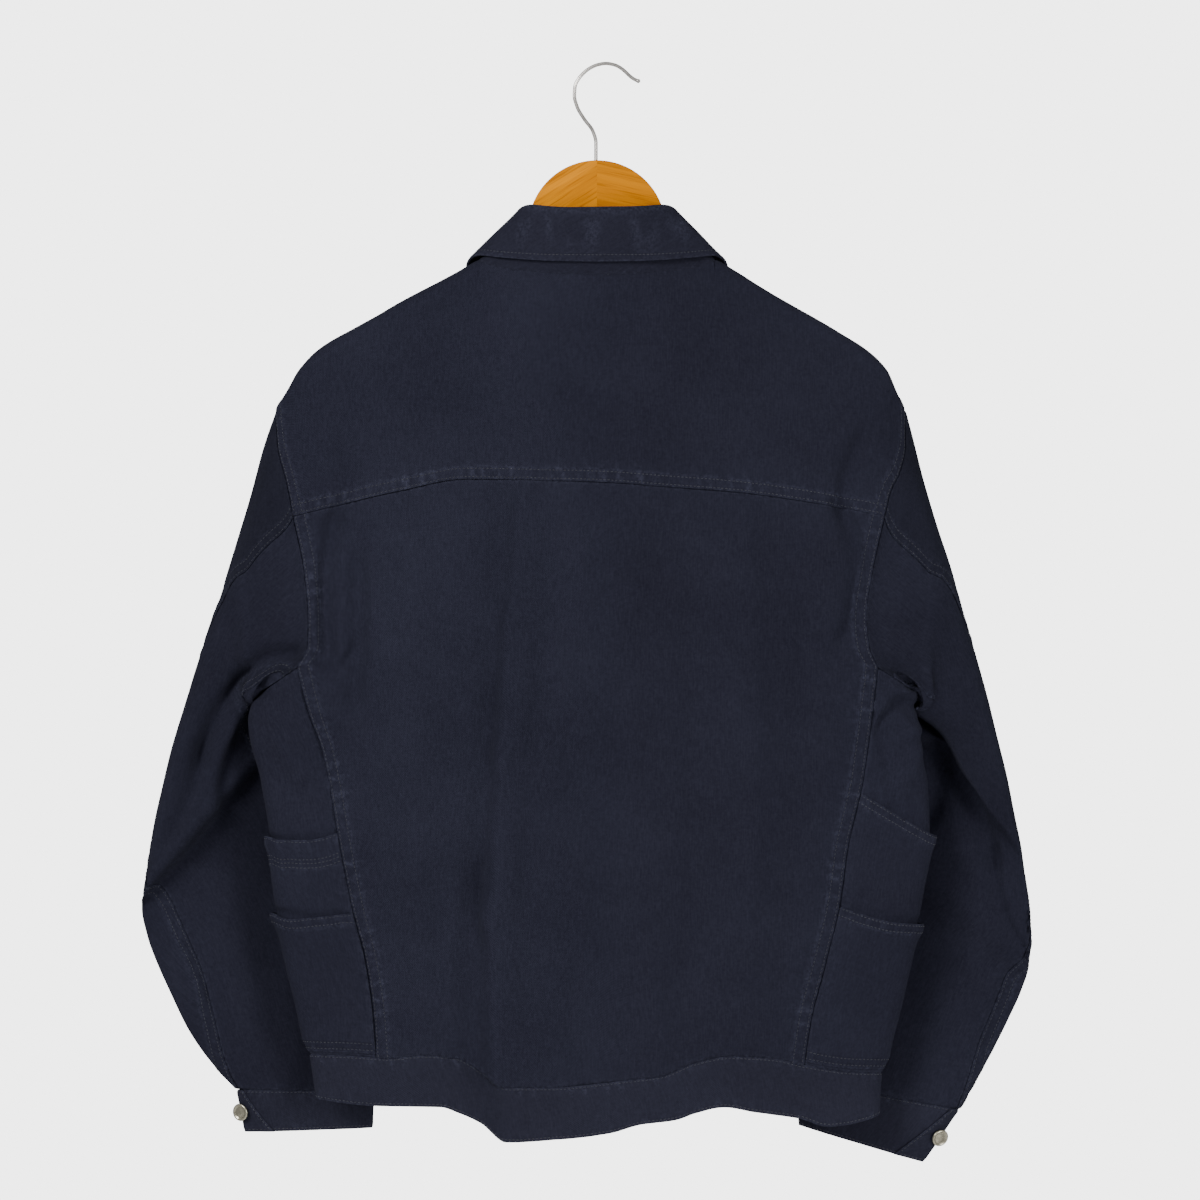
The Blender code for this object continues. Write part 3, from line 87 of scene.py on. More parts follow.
CENTRE_X = -7.0             # the middle of the jacket, seen from behind
CAP = 10.5                  # radius of the fold over the hanger, outside the cloth
HALF_FOLD = CAP * math.pi / 2   # way from the ridge to either side of that fold
TENT = 62.0                 # how fast the cloth opens out below the hanger
ARMPIT_Z = -489.8
SIDE_EASE = 110.0           # above the armpit the ring's edge opens to the fold's radius
BACK_POWER = 2.6            # roundness of the ring's back half
FRONT_POWER = 1.6           # and of its front half, which is leaner at the sides
WAIST_Z = -785.0            # near the waistband's seam
HEM_Z = -830.0              # and near its lower edge

NECK_HALF = 92.0            # neck seam, half of its width
NECK_SIDE_Z = -148.7
NECK_BACK_DROP = 12.0
NECK_FRONT_DROP = 66.0
NECK_END = 176.5            # degrees round the neck from the middle of the back to a collar end

ROLL_HALF = 56.5            # roll line of the collar, half of its width
ROLL_BACK_Y = -30.0
ROLL_FRONT_Y = 36.0
ROLL_Z = -111.5
ROLL_RADIUS = 3.4
# The roll line sinks by an amount from one angle to another: at the front ends, in the middle of the
# back, and at the sides.
ROLL_SINKS = [(84.0, 95.0, 180.0), (4.0, 75.0, 15.0), (5.0, 55.0, 100.0)]
STAND_START = -0.10         # the stand, as a share of the way from the neck seam to the roll line
STAND_END = 1.004
FOLD_SHARE = 0.2            # share of the fall that turns over the roll line
FOLD_TURN = math.radians(150.0)

FRONT_LAP = 18.0            # each front passes the middle by this much
LAP_STEP = 2.8              # the right front lies this far under the left one
LAP_RAMP = 30.0
LAP_FLAT = 6.0              # the step is complete this far before the left front's edge
FRONT_BUTTONS_Z = (-268.0, -372.0, -476.0, -580.0, -684.0)
BAND_BUTTON_Z = -806.0
BAND_BUTTON_TURN = -179.5   # degrees round the ring
BUTTON_STAND = GAP + 0.4    # a button's foot over the cloth's own surface
MOUTH_GAPE = 3.6            # a pocket's mouth sags open by this much
MOUTH_REACH = 13.0          # and this far down
POCKET_FOOT_ROWS = 3.4      # rows of the side panel left below a patch
PATCH_EDGE_LIFT = 0.3       # share of its lift that a patch keeps at its front edge and its foot
PATCH_EASE = (9.0, 12.0)    # and the ways from these two over which it gains the rest

WOOD_T = 12.0               # hanger
WOOD_BEVEL = 1.5
WOOD_JOINT = -1.4           # the halves are glued: their rounded edges leave a fine groove
WOOD_UNDER_RIDGE = 4.8      # top of its arms below the outside of the cloth
WOOD_NECK_DIP = 5.0         # and this much lower where it passes into the collar
HUMP_X = -7.1
HUMP_Z = -126.0
HUMP_R = 54.5
ARM_ENDS_X = {-1: -221.0, 1: 201.0}
ARM_START = 66.0            # from the hump's middle
NECK_REACH = (142.0, 30.0)  # the arm rises again this far from the middle, over this way
ARM_END_R = 11.0
ARM_END_LEAN = 31.0
HOOK_WIRE_R = 1.4
HOOK_BALL_R = 1.7
HUMP_ANGLES = (90.0, -14.0, 40)  # first and last of the hump's points and their number
ARM_END_ANGLES = (70.0, -90.0, 14)

# Number of cells: columns across the back, rows down each stretch of the armhole and the seams.
SHOULDER_COLUMNS = 40
NECK_ANGLES = np.linspace(90.0, 0.0, 34)
NECK_FOLD_COLUMNS = 8       # where the neck seam crosses the shoulder fold
FRONT_NECK_ANGLES = np.linspace(112.0, 168.0, 14)
YOKE_ROWS = 46
CAP_STEPS = 12
BACK_ARM_ROWS = 40
SIDE_COLUMNS = 36
FRONT_ARM_ROWS = 56
LOWER_ROWS = 100
BAND_FRONT_COLUMNS = 80
BAND_ROWS = 17
COLLAR_COLUMNS = (43, 108, 43)  # on the left, across the back, on the right
STAND_ROWS = 16
FALL_ROWS = (10, 25)        # over the roll line and below it
CUFF_ROWS = 15
POCKET_ROWS = 84
CUFF_COLUMNS = 110
BUTTON_SIDES = 40
WIRE_SIDES = 16
HOOK_POINTS = 600           # of the hook's curve, from which its rings are taken evenly
HOOK_RINGS = 260

# ------------------------------------------------------------------------------------ the outlines
# Shoulder ridge:  x z
RIDGE = numbers("""
    -275 -300, -260.7 -268.6, -251.2 -252.8, -242.5 -237, -227.5 -221.2, -201.5 -205.4, -173 -189.6
    -144.6 -173.8, -115.3 -158, -98.8 -148.9, -67.9 -131.1, -36.3 -114.6, -7 -108.4, 22.1 -114.6
    53.7 -131.1, 85.3 -148.5, 101.1 -158, 126.4 -173.8, 154.8 -189.6, 181.7 -205.4, 206.2 -221.2
    222 -237, 229.1 -252.8, 236.2 -268.6, 250 -300""")
# Rings of the torso:  z | left edge | right edge | back y | front y | y of the side edges
SECTIONS = numbers("""
    -100 -292 268 -46 44 0
    -273 -289 265 -46 44 0
    -355 -284 260 -48 46 -6
    -434 -275 250 -50 47 -14
    -479 -267 241 -51 47 -19
    -489.8 -269 240 -51 47 -20
    -499.3 -278.5 243 -51 47 -20
    -513.5 -282 243.3 -51 47 -20
    -528.5 -280.4 243 -51 47 -20
    -560.1 -271.8 253 -51 46 -20
    -601.2 -265.4 255.2 -50 45 -20
    -661.2 -258.3 246 -48 43 -19
    -696.8 -251.2 239 -47 42 -18
    -734.7 -241.7 230.5 -46 40 -18
    -773.4 -233.8 220.5 -44 38 -17
    -803.4 -229.9 216.5 -42 36 -16
    -850 -225 215 -41 35 -16""")
# Armholes on the back:  z x, from the shoulder tip to where the side panel begins
ARMHOLE_BACK = {
    -1: numbers("""
        -268.6 -260.7, -299.4 -258.3, -326.3 -251.2, -353.1 -245.7, -395.8 -237, -432.9 -233.8
        -454.2 -234.3, -471.6 -242.5"""),
    1: numbers("""
        -268.6 236.2, -299.4 235.4, -319.2 230.7, -331.8 224.5, -353.1 218.8, -395.8 209.4
        -431.3 204.6, -455.8 206.8, -471.6 213.3""")}
ARMHOLE_FRONT_SCOOP = 12.0  # the front armhole runs this much further in

# Side-back seams:  z x
SIDE_BACK_SEAM = {
    -1: numbers("""
        -471.6 -242.5, -504.8 -233.8, -534.8 -222.8, -573.5 -214.9, -603.6 -210.1, -663.6 -198.3
        -696.8 -189.6, -737.9 -183.3, -790 -179.6"""),
    1: numbers("""
        -471.6 213.3, -497.7 210.1, -528.5 206.2, -560.1 201.5, -608.3 190.4, -661.2 182.5
        -703.9 172.2, -746.6 161.2, -790 154.6""")}
# Yoke seam, waistband seam and hem on the back:  x z
YOKE_SEAM = numbers("""
    -245.7 -353.1, -218 -346, -162.7 -333.4, -109.8 -323.9, -62.4 -324.7, -4 -326.3, 49.8 -330.2
    102.7 -334.2, 155.6 -341.3, 192.8 -347.6, 218.8 -353.1""")
WAIST_SEAM = numbers("""
    -240 -775.8, -200.7 -776.6, -170.6 -778.2, -143 -775.8, -118.5 -777.4, -94 -791.6, -78.2 -801.1
    -45.8 -801.1, 7.1 -796.3, 44.2 -791.6, 71.1 -781.3, 97.2 -776.6, 129.6 -778.2, 155.6 -783.7
    188 -789, 225 -790.8""")
HEM = numbers("""
    -232 -811, -184.1 -816.1, -129.6 -816.9, -115.3 -821.6, -98 -829.5, -78.2 -844.5, -35.6 -842.1
    2.4 -837.4, 28.4 -830.3, 54.5 -827.1, 70.3 -821.6, 92.4 -816.9, 116.1 -820.8, 153.3 -826.3
    173.8 -832.7, 191.2 -831.1, 205.4 -827.9, 220 -823""")
# Largest folds:  x z at the top | x z at the bottom | half width | height
BACK_FOLDS = numbers("""
    -60 -345 -70 -500 13 4
    -70 -500 -80 -640 13 4.5
    -80 -640 -80 -780 13 4.5
    -78 -350 -86 -500 12 -5
    -86 -500 -98 -640 12 -5.5
    -98 -640 -100 -780 12 -5.5
    -214 -360 -219 -470 12 -4
    -194 -395 -196 -485 11 -3.5
    189 -365 196 -440 13 -4.5
    22 -380 26 -700 22 2.5
    70 -420 62 -740 20 -2.5
    112 -380 108 -720 20 2.5
    -150 -420 -146 -740 22 3""")
FRONT_FOLDS = numbers("""
    -150 -330 -128 -640 18 -3
    -95 -420 -88 -760 20 3
    128 -340 112 -650 18 -3
    84 -430 78 -750 20 3""")
# Pocket openings:  x z on the back half of the side panel
POCKET_OPENINGS = {
    ("left", "upper"): numbers("-263.9 -603.6, -255.2 -606.5, -233.8 -606.7, -208 -600.4"),
    ("left", "lower"): numbers("-257.5 -663.6, -247.3 -668.3, -222.8 -666.8, -198.3 -663.6"),
    ("right", "upper"): numbers("192 -564.9, 254.4 -603.6"),
    ("right", "lower"): numbers("183.3 -658.9, 196.7 -663.6, 229.1 -671.5, 246 -672.3")}
# Free edge of the fall:  degrees round the neck | half width | y | z
FALL_EDGE = numbers("""
    0 0 -30.5 -152.8, 22 42 -26 -151.8, 45 76 -15 -149, 65 92 -6 -147.2, 80 99 1 -149.5
    95 102.8 9 -157, 115 103 23 -177, 140 93 39 -214, 160 76 48 -252, 176.5 52 52.5 -274""")
# Rings of a sleeve, from the armhole to the cuff, and the cuff's lower end.  The outer point is on
# the outline, the inner one hangs in front of the body's side.
#   outer x z y | inner x z y | back depth | front depth
SLEEVE_RINGS = {
    -1: numbers("""
        -260.7 -268.6 0 -265.4 -489.8 -20 40 45
        -271 -300 0 -274 -488.5 -14 34 42
        -284.4 -348 0 -280 -490.5 -8 27 40
        -303.4 -411 0 -283 -494.5 -2 21 38
        -324 -474 0 -282 -499.5 4 18 36
        -343.7 -537 0 -278 -506 10 17 34
        -358 -601 0 -273 -514 16 16 32
        -366 -650 0 -266 -525 21 16 31
        -367.4 -663 4 -258 -538 24 4 30
        -362 -686 6 -243 -572 27 5 29
        -345.2 -726.8 7 -222 -630 28 7 27
        -330.2 -758.4 8 -209 -688 28 8 25
        -311 -786 9 -197 -749 28 9 22
        -292.5 -806 10 -184.5 -807 28 10 16"""),
    1: numbers("""
        236.2 -268.6 0 236.2 -489.8 -20 40 45
        244.9 -300 0 243.5 -488.5 -14 34 42
        258 -348 0 248 -490 -8 27 40
        277.3 -411 0 250.5 -493 -2 21 38
        295.5 -474 0 250.5 -497 4 18 36
        312.1 -537 0 248.5 -501 10 17 34
        323 -588 0 245 -505 15 16 32
        327.5 -612 0 241 -509.5 19 16 31
        330 -628 3 235 -521 23 6 31
        335.5 -665 4 224 -552 26 9 30
        336.5 -697 4 210 -600 28 10 29
        328.6 -727 7 197 -650 28 6 27
        309 -769 8 177 -720 29 8 23
        280 -822 10 153.5 -798 30 10 16""")}
CUFF_ENDS = {
    -1: numbers("""
        -286.5 -840 11 -184.5 -838 29 9 15"""),
    1: numbers("""
        251 -864 12 152.5 -836 31 9 15""")}
SLEEVE_POWER = 2.2
INNER_SEAM_STEP = 12        # the inner seam meets the armhole this many points behind the armpit
ARMHOLE_EASE = 2.6          # rings over which the armhole's own line turns into a sleeve ring
SLEEVE_STATIONS = np.linspace(0.0, 13.0, 131)

# Seams along a sleeve:  ring | turn of the back seam | turn of the inner seam (0 outside, 0.5 inside)
SLEEVE_SEAMS = {
    -1: numbers("""
        1 0.195 0.435, 2 0.19 0.43, 3 0.09 0.42, 4 -0.015 0.415, 5.5 -0.03 0.41, 6.5 0.01 0.41
        7.2 0.085 0.41, 8 0.13 0.42, 9 0.148 0.425, 10 0.152 0.43, 11 0.138 0.433, 12 0.098 0.437
        13 0.045 0.44"""),
    1: numbers("""
        1 0.205 0.435, 2 0.196 0.43, 3 0.09 0.42, 4 -0.015 0.415, 5.5 -0.03 0.41, 7 -0.03 0.41
        8 -0.02 0.42, 9 0 0.425, 10 0.045 0.43, 11 0.11 0.433, 12 0.103 0.437, 13 0.045 0.44""")}
CUFF_LAP = 0.07             # of a turn, at the overlapping ends
CUFF_SLANT = 0.09           # of a turn: the lapping end leans on to the back towards the hem
CUFF_BUTTON_DOWN = 0.52     # of the cuff's height
CUFF_BUTTON_IN = 0.6        # of the lap, from its end
CUFF_FREE_TURN = 0.06       # the lap's end stands off, from this far before it
CUFF_FREE = 2.2

# Underside of the hanger, from the left arm to the right one:  x z
HANGER_UNDERSIDE = [(-138.0, -204.0), (-76.0, -176.0), (HUMP_X, -164.0), (60.0, -176.0),
                    (120.0, -204.0)]
# Hook wire, from inside the wood to its tip:  x z
HOOK_ROUTE = numbers("""
    -7.9 -96, -7.9 -71.9, -7.9 -58, -10.4 -48.2, -17.2 -38.7, -22.7 -29.2, -24.9 -20.5, -24.4 -13
    -21.3 -6.6, -17 -1.8, -11.9 1.9, -6 4.3, 0 5.2, 6.3 4.2, 11.7 1.6, 15.8 -1.8, 19.4 -5.2, 23.2 -7.7
    27.2 -9.3""")
# Half section of a button:  radius | height over the cloth
BUTTON_PROFILE = numbers("""
    0 0.8, 2.6 0.8, 3.1 0.4, 3.1 0, 5.6 0, 6.5 0.3, 7 1.1, 7 1.7, 6.7 2.3, 6.1 2.6, 5.4 2.5, 4.9 2
    4.5 1.7, 3.6 1.75, 2.4 2.1, 1.2 2.3, 0 2.35""")
# --------------------------------------------------------------------------- creases of the cloth
FOLD_FADE = 30.0            # way over which a fold and a crease fade out beyond their ends
CREASE_FADE = 14.0
# Troughs and ridges:  three places x z | width to its left, to its right | height
BACK_CREASES = numbers("""
    -63 -335 -69 -387 -73 -436 4 14 3.6
    -73 -436 -78 -498 -78 -539 4 14 4.5
    -78 -539 -85 -619 -88 -672 4.5 14 4.5
    -88 -672 -88 -725 -86 -795 5 16 4.1
    -214 -356 -221 -403 -219 -456 7 5 -5.9
    -194 -393 -194 -452 -197 -491 6 9 -4.9
    -222 -471 -217 -474 -210 -472 5 5 -4.1
    200 -292 190 -318 186 -342 8 6 -6.3
    188 -352 198 -382 189 -442 7 6 -5.3
    -48 -292 -42 -302 -40 -318 9 9 -2.9
    -206 -286 -203 -310 -201 -328 9 8 -4.1
    14 -350 18 -480 16 -640 9 12 2
    66 -400 70 -520 66 -700 12 8 -2
    108 -360 118 -500 112 -660 9 12 2.2
    154 -420 150 -560 140 -720 10 10 -2.2
    -150 -380 -152 -520 -146 -700 12 12 2
    -120 -660 -124 -720 -122 -772 9 7 2.7
    40 -730 44 -760 42 -788 8 8 2.5
    -20 -700 -26 -750 -24 -792 9 7 -2.5
    -150 -215 -120 -250 -100 -290 14 12 -1.8
    130 -215 112 -250 96 -300 12 14 -1.8
    40 -180 52 -230 50 -290 12 12 1.4
    -103 -148 -7 -161.5 89 -148 2.6 1.5 -1.2""")
FRONT_CREASES = numbers("""
    -170 -300 -160 -380 -166 -450 9 6 -2
    -120 -420 -126 -560 -120 -700 9 12 1.4
    -70 -520 -66 -620 -72 -740 10 8 -1.4
    160 -300 150 -380 158 -450 6 9 -2
    106 -430 112 -560 104 -700 12 9 1.4
    56 -500 52 -640 58 -740 8 10 -1.3
    -200 -520 -170 -560 -150 -620 8 10 1.2
    190 -520 160 -570 140 -640 10 8 1.2""")
SIDE_CREASES = numbers("""
    -232 -500 -224 -530 -236 -566 8 6 -2.4
    -262 -520 -248 -545 -226 -560 7 7 2.2
    -252 -560 -236 -580 -218 -588 6 8 -1.7
    248 -530 238 -555 226 -572 6 6 2.1
    242 -493 229 -491 218 -500 4 4 3
    243 -501 232 -499 224 -503 5 4 -3.6
    219 -503 230 -509 242 -528 4 6 3.6
    214 -512 220 -540 226 -575 6 6 -2.4
    245 -500 248 -507 246 -516 5 5 4
    -265 -605.5 -250 -607.2 -214 -601 1.6 1.6 -2.6
    -258 -662.5 -233 -666.5 -199 -663 1.6 1.6 -2.6
    183 -658 210.5 -665.6 243 -671.4 1.6 1.6 -2.6""")
SLEEVE_CREASES = numbers("""
    -242 -461 -266 -465 -288 -484 4.5 8 -7
    -288 -484 -306 -512 -317 -540 4.5 9 -8
    -317 -540 -325 -568 -343 -604 5 9 -5
    -255 -478 -282 -496 -297 -520 6 6 4
    -297 -520 -306 -545 -311 -570 6 6 3.6
    -280 -503 -294 -528 -303 -570 5 3.5 -4.5
    -272 -545 -300 -572 -332 -606 5 6 2.6
    -300 -420 -296 -450 -306 -480 10 10 -1.3
    -340 -690 -326 -720 -312 -760 7 8 1.8
    -318 -700 -300 -730 -292 -770 7 9 -2
    -326 -700 -318 -716 -314 -728 4 4 -2
    -250 -610 -264 -650 -262 -700 14 14 -2
    -300 -640 -290 -690 -280 -740 12 12 1.4
    -250 -720 -244 -760 -248 -800 9 9 1.2
    238 -440 258 -452 280 -486 9 9 -1.8
    238 -488 258 -524 285 -570 3.5 12 -8
    285 -570 300 -598 308 -622 3.5 12 -6.5
    308 -622 310 -652 334 -698 3.5 9 -5
    246 -510 262 -545 258 -585 9 9 -8
    296 -640 290 -700 300 -742 10 10 1.8
    320 -716 308 -740 296 -768 4 7 -3.2
    250 -610 244 -680 236 -740 14 14 -2
    222 -700 214 -760 196 -800 9 9 1.4""")
WAIST_CREASES = numbers("""
    -126 -792 -121 -806 -112 -822 4 3 -1.3
    -108 -797 -101 -810 -94 -826 3 4 1.2
    -88 -806 -84 -818 -78 -834 4 4 -1.3
    -66 -812 -66 -826 -70 -842 4 5 1.2
    -44 -812 -42 -826 -42 -844 5 4 -1.2
    -14 -808 -16 -824 -14 -842 5 5 1
    16 -804 18 -818 17 -838 4 5 -1.1
    42 -798 40 -812 35 -832 4 4 1.2
    62 -790 58 -806 56 -824 5 4 -1.2
    92 -786 94 -800 92 -814 5 5 1
    128 -790 124 -804 124 -818 4 5 -1.1""")
# Where the sleeve's underside sags on to the side panel:  x z | reach | drop
ARMPIT_SAGS = numbers("""
    -275 -492 18 12, 245 -505 26 27""")

FRONT_SHIFT = (9.0, 0.0, 26.0)  # from a sleeve's creases behind to those in front
FRONT_SHARE = 0.6           # and how high these are
ARMHOLE_CALM = 11.0         # creases rise over this way from the armhole
STITCH_SINK = 0.28          # a row of stitches pulls the cloth in by this much
STITCH_SINK_WIDTH = 0.8


def sewn_edge(roll, pucker, rows=(), strip=0.0, lift=0.0):
    """An edge's finish: its roll, width and lift of its felled strip, stitch rows and puckers."""
    return dict(roll=roll, strip=strip, lift=lift, rows=rows, pucker=pucker)


PLAIN = sewn_edge(0.9, 0.12)
FELLED = sewn_edge(0.8, 0.38, (1.8, 8.0), 9.5, 0.55)
YOKE_FELLED = sewn_edge(0.7, 0.62, (1.8, 8.4), 10.0, 0.6)
SIDE_FELLED = sewn_edge(0.7, 0.6, (1.8, 9.2), 11.0, 0.8)
TURNED = sewn_edge(0.5, 0.2, (2.0,), lift=0.3)
POCKET_HEM = sewn_edge(0.4, 0.22, (2.0, 16.0, 19.0, 22.5), 24.0, 0.4)
POCKET_EDGE = sewn_edge(0.4, 0.2, (1.8, 7.4), 9.0, 0.3)
POCKET_FOOT = sewn_edge(0.7, 0.3, (3.0, 8.5))
POCKET_SIDE = sewn_edge(0.7, 0.15)
WAISTBAND = sewn_edge(1.5, 0.4, (1.7,), lift=0.35)
HEM_EDGE = sewn_edge(0.9, 0.25, (2.2,), lift=0.3)
COLLAR_EDGE = sewn_edge(0.5, 0.2, (5.5,), lift=0.3)
STAND_EDGE = sewn_edge(0.6, 0.25, (2.0,))

# Linear colours of the cloth and its worn places, the metals and the wood
NAVY = (0.0119, 0.0119, 0.0202)
NAVY_POCKET = (0.0124, 0.0124, 0.0209)
NAVY_BAND = (0.0148, 0.0147, 0.0238)
NAVY_COLLAR = (0.0140, 0.0138, 0.0226)
FADED = (0.0578, 0.0610, 0.0951)
THREAD = (0.0190, 0.0208, 0.0345)
BRASS = (0.47, 0.44, 0.34)
STEEL = (0.60, 0.57, 0.54)
LEFT_GRAIN = ((0.76, 0.275, 0.0), (0.38, 0.11, 0.0))
RIGHT_GRAIN = ((0.60, 0.205, 0.0), (0.29, 0.08, 0.0))


# --------------------------------------------------------------------------- shape of the jacket
def smooth_step(t):
    """From 0 to 1 as t goes from 0 to 1, level at both ends: 3 t squared less 2 t cubed."""
    t = np.clip(t, 0.0, 1.0)
    return t * t * (3.0 - 2.0 * t)


def bell(way, width):
    """A soft hill: 1 at no distance, falling with the square of the way over its width."""
    return np.exp(-(way / width) ** 2)


def signed_power(value, power):
    """A power of the size, with the value's sign."""
    return np.sign(value) * np.abs(value) ** power


def packed(*columns):
    """Arrays as the columns of one array."""
    return np.stack(columns, axis=-1)


def unit(vectors):
    """Vectors over their own lengths."""
    return vectors / np.linalg.norm(vectors, axis=-1, keepdims=True)


def way_along(points):
    """Each point's way along a line of points, or along every column of a grid."""
    steps = np.linalg.norm(np.diff(points, axis=0), axis=-1)
    return np.concatenate([np.zeros_like(steps[:1]), np.cumsum(steps, axis=0)])


def smooth_line(rows, column=1):
    """A curve through a table's rows that never overshoots them, as a function of column 0."""
    t, v = np.array(sorted(rows))[:, [0, column]].T
    slope = np.diff(v) / np.diff(t)
    product = slope[:-1] * slope[1:]
    total = np.where(product > 0.0, slope[:-1] + slope[1:], 1.0)
    inner = np.where(product > 0.0, 2.0 * product / total, 0.0)
    tangent = np.concatenate([slope[:1], inner, slope[-1:]])

    def value(x):
        x = np.clip(np.asarray(x, float), t[0], t[-1])
        k = np.clip(np.searchsorted(t, x) - 1, 0, len(t) - 2)
        h = t[k + 1] - t[k]
        s = (x - t[k]) / h
        return ((2 * s ** 3 - 3 * s ** 2 + 1) * v[k] + (s ** 3 - 2 * s ** 2 + s) * h * tangent[k]
                + (3 * s ** 2 - 2 * s ** 3) * v[k + 1] + (s ** 3 - s ** 2) * h * tangent[k + 1])
    return value


def interpolated(want, at, rows):
    """Every column of a table of rows at the wanted places."""
    return packed(*(np.interp(want, at, column) for column in rows.T))


def stepped(places, counts):
    """From place to place in even steps, a count of them for each stretch."""
    return np.interp(np.arange(sum(counts) + 1), np.cumsum([0, *counts]), places)


def between_edges(left, right, top, bottom):
    """A grid between four edges (a Coons patch): rows run down, columns run from left to right."""
    s = np.linspace(0.0, 1.0, len(top))[None, :, None]
    t = np.linspace(0.0, 1.0, len(left))[:, None, None]
    across = (1 - s) * left[:, None] + s * right[:, None]
    down = (1 - t) * top[None] + t * bottom[None]
    corners = ((1 - s) * (1 - t) * top[0] + s * (1 - t) * top[-1]
               + (1 - s) * t * bottom[0] + s * t * bottom[-1])
    return np.moveaxis(across + down - corners, -1, 0)


ridge, yoke_seam, waist_seam_back, hem_back = map(smooth_line, (RIDGE, YOKE_SEAM, WAIST_SEAM, HEM))
ring_left, ring_right, ring_back, ring_front, ring_edge_y = (
    smooth_line(SECTIONS, column) for column in range(1, 6))
armhole_back_x = {side: smooth_line(ARMHOLE_BACK[side]) for side in SIDES}
side_back_x = {side: smooth_line(SIDE_BACK_SEAM[side]) for side in SIDES}
SHOULDER_TIP = {side: ARMHOLE_BACK[side][0] for side in SIDES}
ARMHOLE_FOOT = {side: ARMHOLE_BACK[side][-1] for side in SIDES}


def relief(x, z, folds):
    """Height of the folds: each is a soft bar along its line, fading at its ends."""
    height = np.zeros(np.broadcast(x, z).shape)
    for x0, z0, x1, z1, half_width, amount in folds:
        length = math.hypot(x1 - x0, z1 - z0)
        along = ((x - x0) * (x1 - x0) + (z - z0) * (z1 - z0)) / length ** 2
        across = ((x - x0) * (z1 - z0) - (z - z0) * (x1 - x0)) / length
        beyond = np.maximum(np.maximum(-along, along - 1.0), 0.0) * length
        height += amount * bell(across, half_width) * bell(beyond, FOLD_FADE)
    return height


def ring_middle(z):
    """Middle and half width of the torso's ring at a height."""
    return (ring_left(z) + ring_right(z)) / 2, (ring_right(z) - ring_left(z)) / 2


def torso_y(x, z, side, bulge=None):
    """Depth of the torso's surface: the ring's half oval, flattened towards the shoulder ridge."""
    middle, half = ring_middle(z)
    if bulge is None:
        power = np.where(side < 0, BACK_POWER, FRONT_POWER)
        offset = np.clip(np.abs(x - middle) / half, 0.0, 1.0)
        bulge = (1.0 - offset ** power) ** (1.0 / power)
    opening = 1.0 - np.exp(-np.maximum(ridge(x) - CAP - z, 0.0) / TENT)
    rim = CAP * smooth_step((z - ARMPIT_Z) / SIDE_EASE)
    depth = np.abs(np.where(side < 0, ring_back(z), ring_front(z)) - ring_edge_y(z)) - rim
    folds = np.where(side < 0, relief(x, z, BACK_FOLDS), relief(x, z, FRONT_FOLDS))
    return ring_edge_y(z) * opening + side * (rim + depth * bulge * opening + folds * bulge)


def back_chart(x, q):
    """q runs over the shoulder: negative on the fold's front, 0 on the ridge, then down the back."""
    angle = np.clip(q / CAP, -math.pi / 2, math.pi / 2)
    fold_z = ridge(x) - CAP
    down = np.maximum(q - HALF_FOLD, 0.0)
    z = np.where(down > 0.0, fold_z - down, fold_z + CAP * np.cos(angle))
    y = np.where(down > 0.0, torso_y(x, fold_z - down, -1), -CAP * np.sin(angle))
    return packed(x + 0 * z, y, z)


def front_chart(x, q):
    """q runs down the front from the shoulder seam, which ends the fold over the hanger."""
    z = ridge(x) - CAP - q
    return packed(x + 0 * z, torso_y(x, z, +1), z)


def right_front_chart(x, q):
    """The right front steps in near its edge, where the left front lies over it."""
    point = front_chart(x, q)
    reach = CENTRE_X + FRONT_LAP + LAP_RAMP - x
    point[..., 1] -= LAP_STEP * smooth_step(reach / (LAP_RAMP - LAP_FLAT))
    return point


def ring_chart(turn, z):
    """turn in degrees round the torso: 0 the middle of the back, +-90 the side edges, 180 front."""
    angle = np.radians(turn)
    power = np.where(np.cos(angle) > 0.0, BACK_POWER, FRONT_POWER)
    middle, half = ring_middle(z)
    x = middle + half * signed_power(np.sin(angle), 2.0 / power)
    bulge = np.abs(np.cos(angle)) ** (2.0 / power)
    return packed(x, torso_y(x, z, np.where(np.cos(angle) > 0.0, -1, +1), bulge), z + 0 * x)


def turn_of(x, z, face):
    """The ring's turn at a point of the back (face -1) or of the front (face +1)."""
    middle, half = ring_middle(z)
    offset = np.clip(np.abs(x - middle) / half, 0.0, 1.0)
    turn = np.degrees(np.arcsin(offset ** ((BACK_POWER if face < 0 else FRONT_POWER) / 2.0)))
    return np.sign(x - middle) * (turn if face < 0 else 180.0 - turn)


def back_q(x, z):
    """Way over the shoulder to a height on the back, also where that is still on the fold."""
    drop = ridge(x) - z
    on_fold = CAP * np.arccos(np.clip(1.0 - drop / CAP, 0.0, 1.0))
    return np.where(drop < CAP, on_fold, HALF_FOLD + drop - CAP)


def front_q(x, z):
    """Way down the front from the shoulder seam."""
    return ridge(x) - CAP - z


def normals_of(chart, a, b, step, outward):
    """Unit normals: the cross product of a chart's own differences, turned to the outward side."""
    along = chart(a + step[0], b) - chart(a - step[0], b)
    down = chart(a, b + step[1]) - chart(a, b - step[1])
    normal = unit(np.cross(along, down))
    middle = normal[normal.shape[0] // 2, normal.shape[1] // 2]
    return normal if np.dot(middle, outward) > 0.0 else -normal


def neck_x(angle):
    """Neck seam: its half width times the angle's sine."""
    return CENTRE_X + NECK_HALF * np.sin(np.radians(angle))


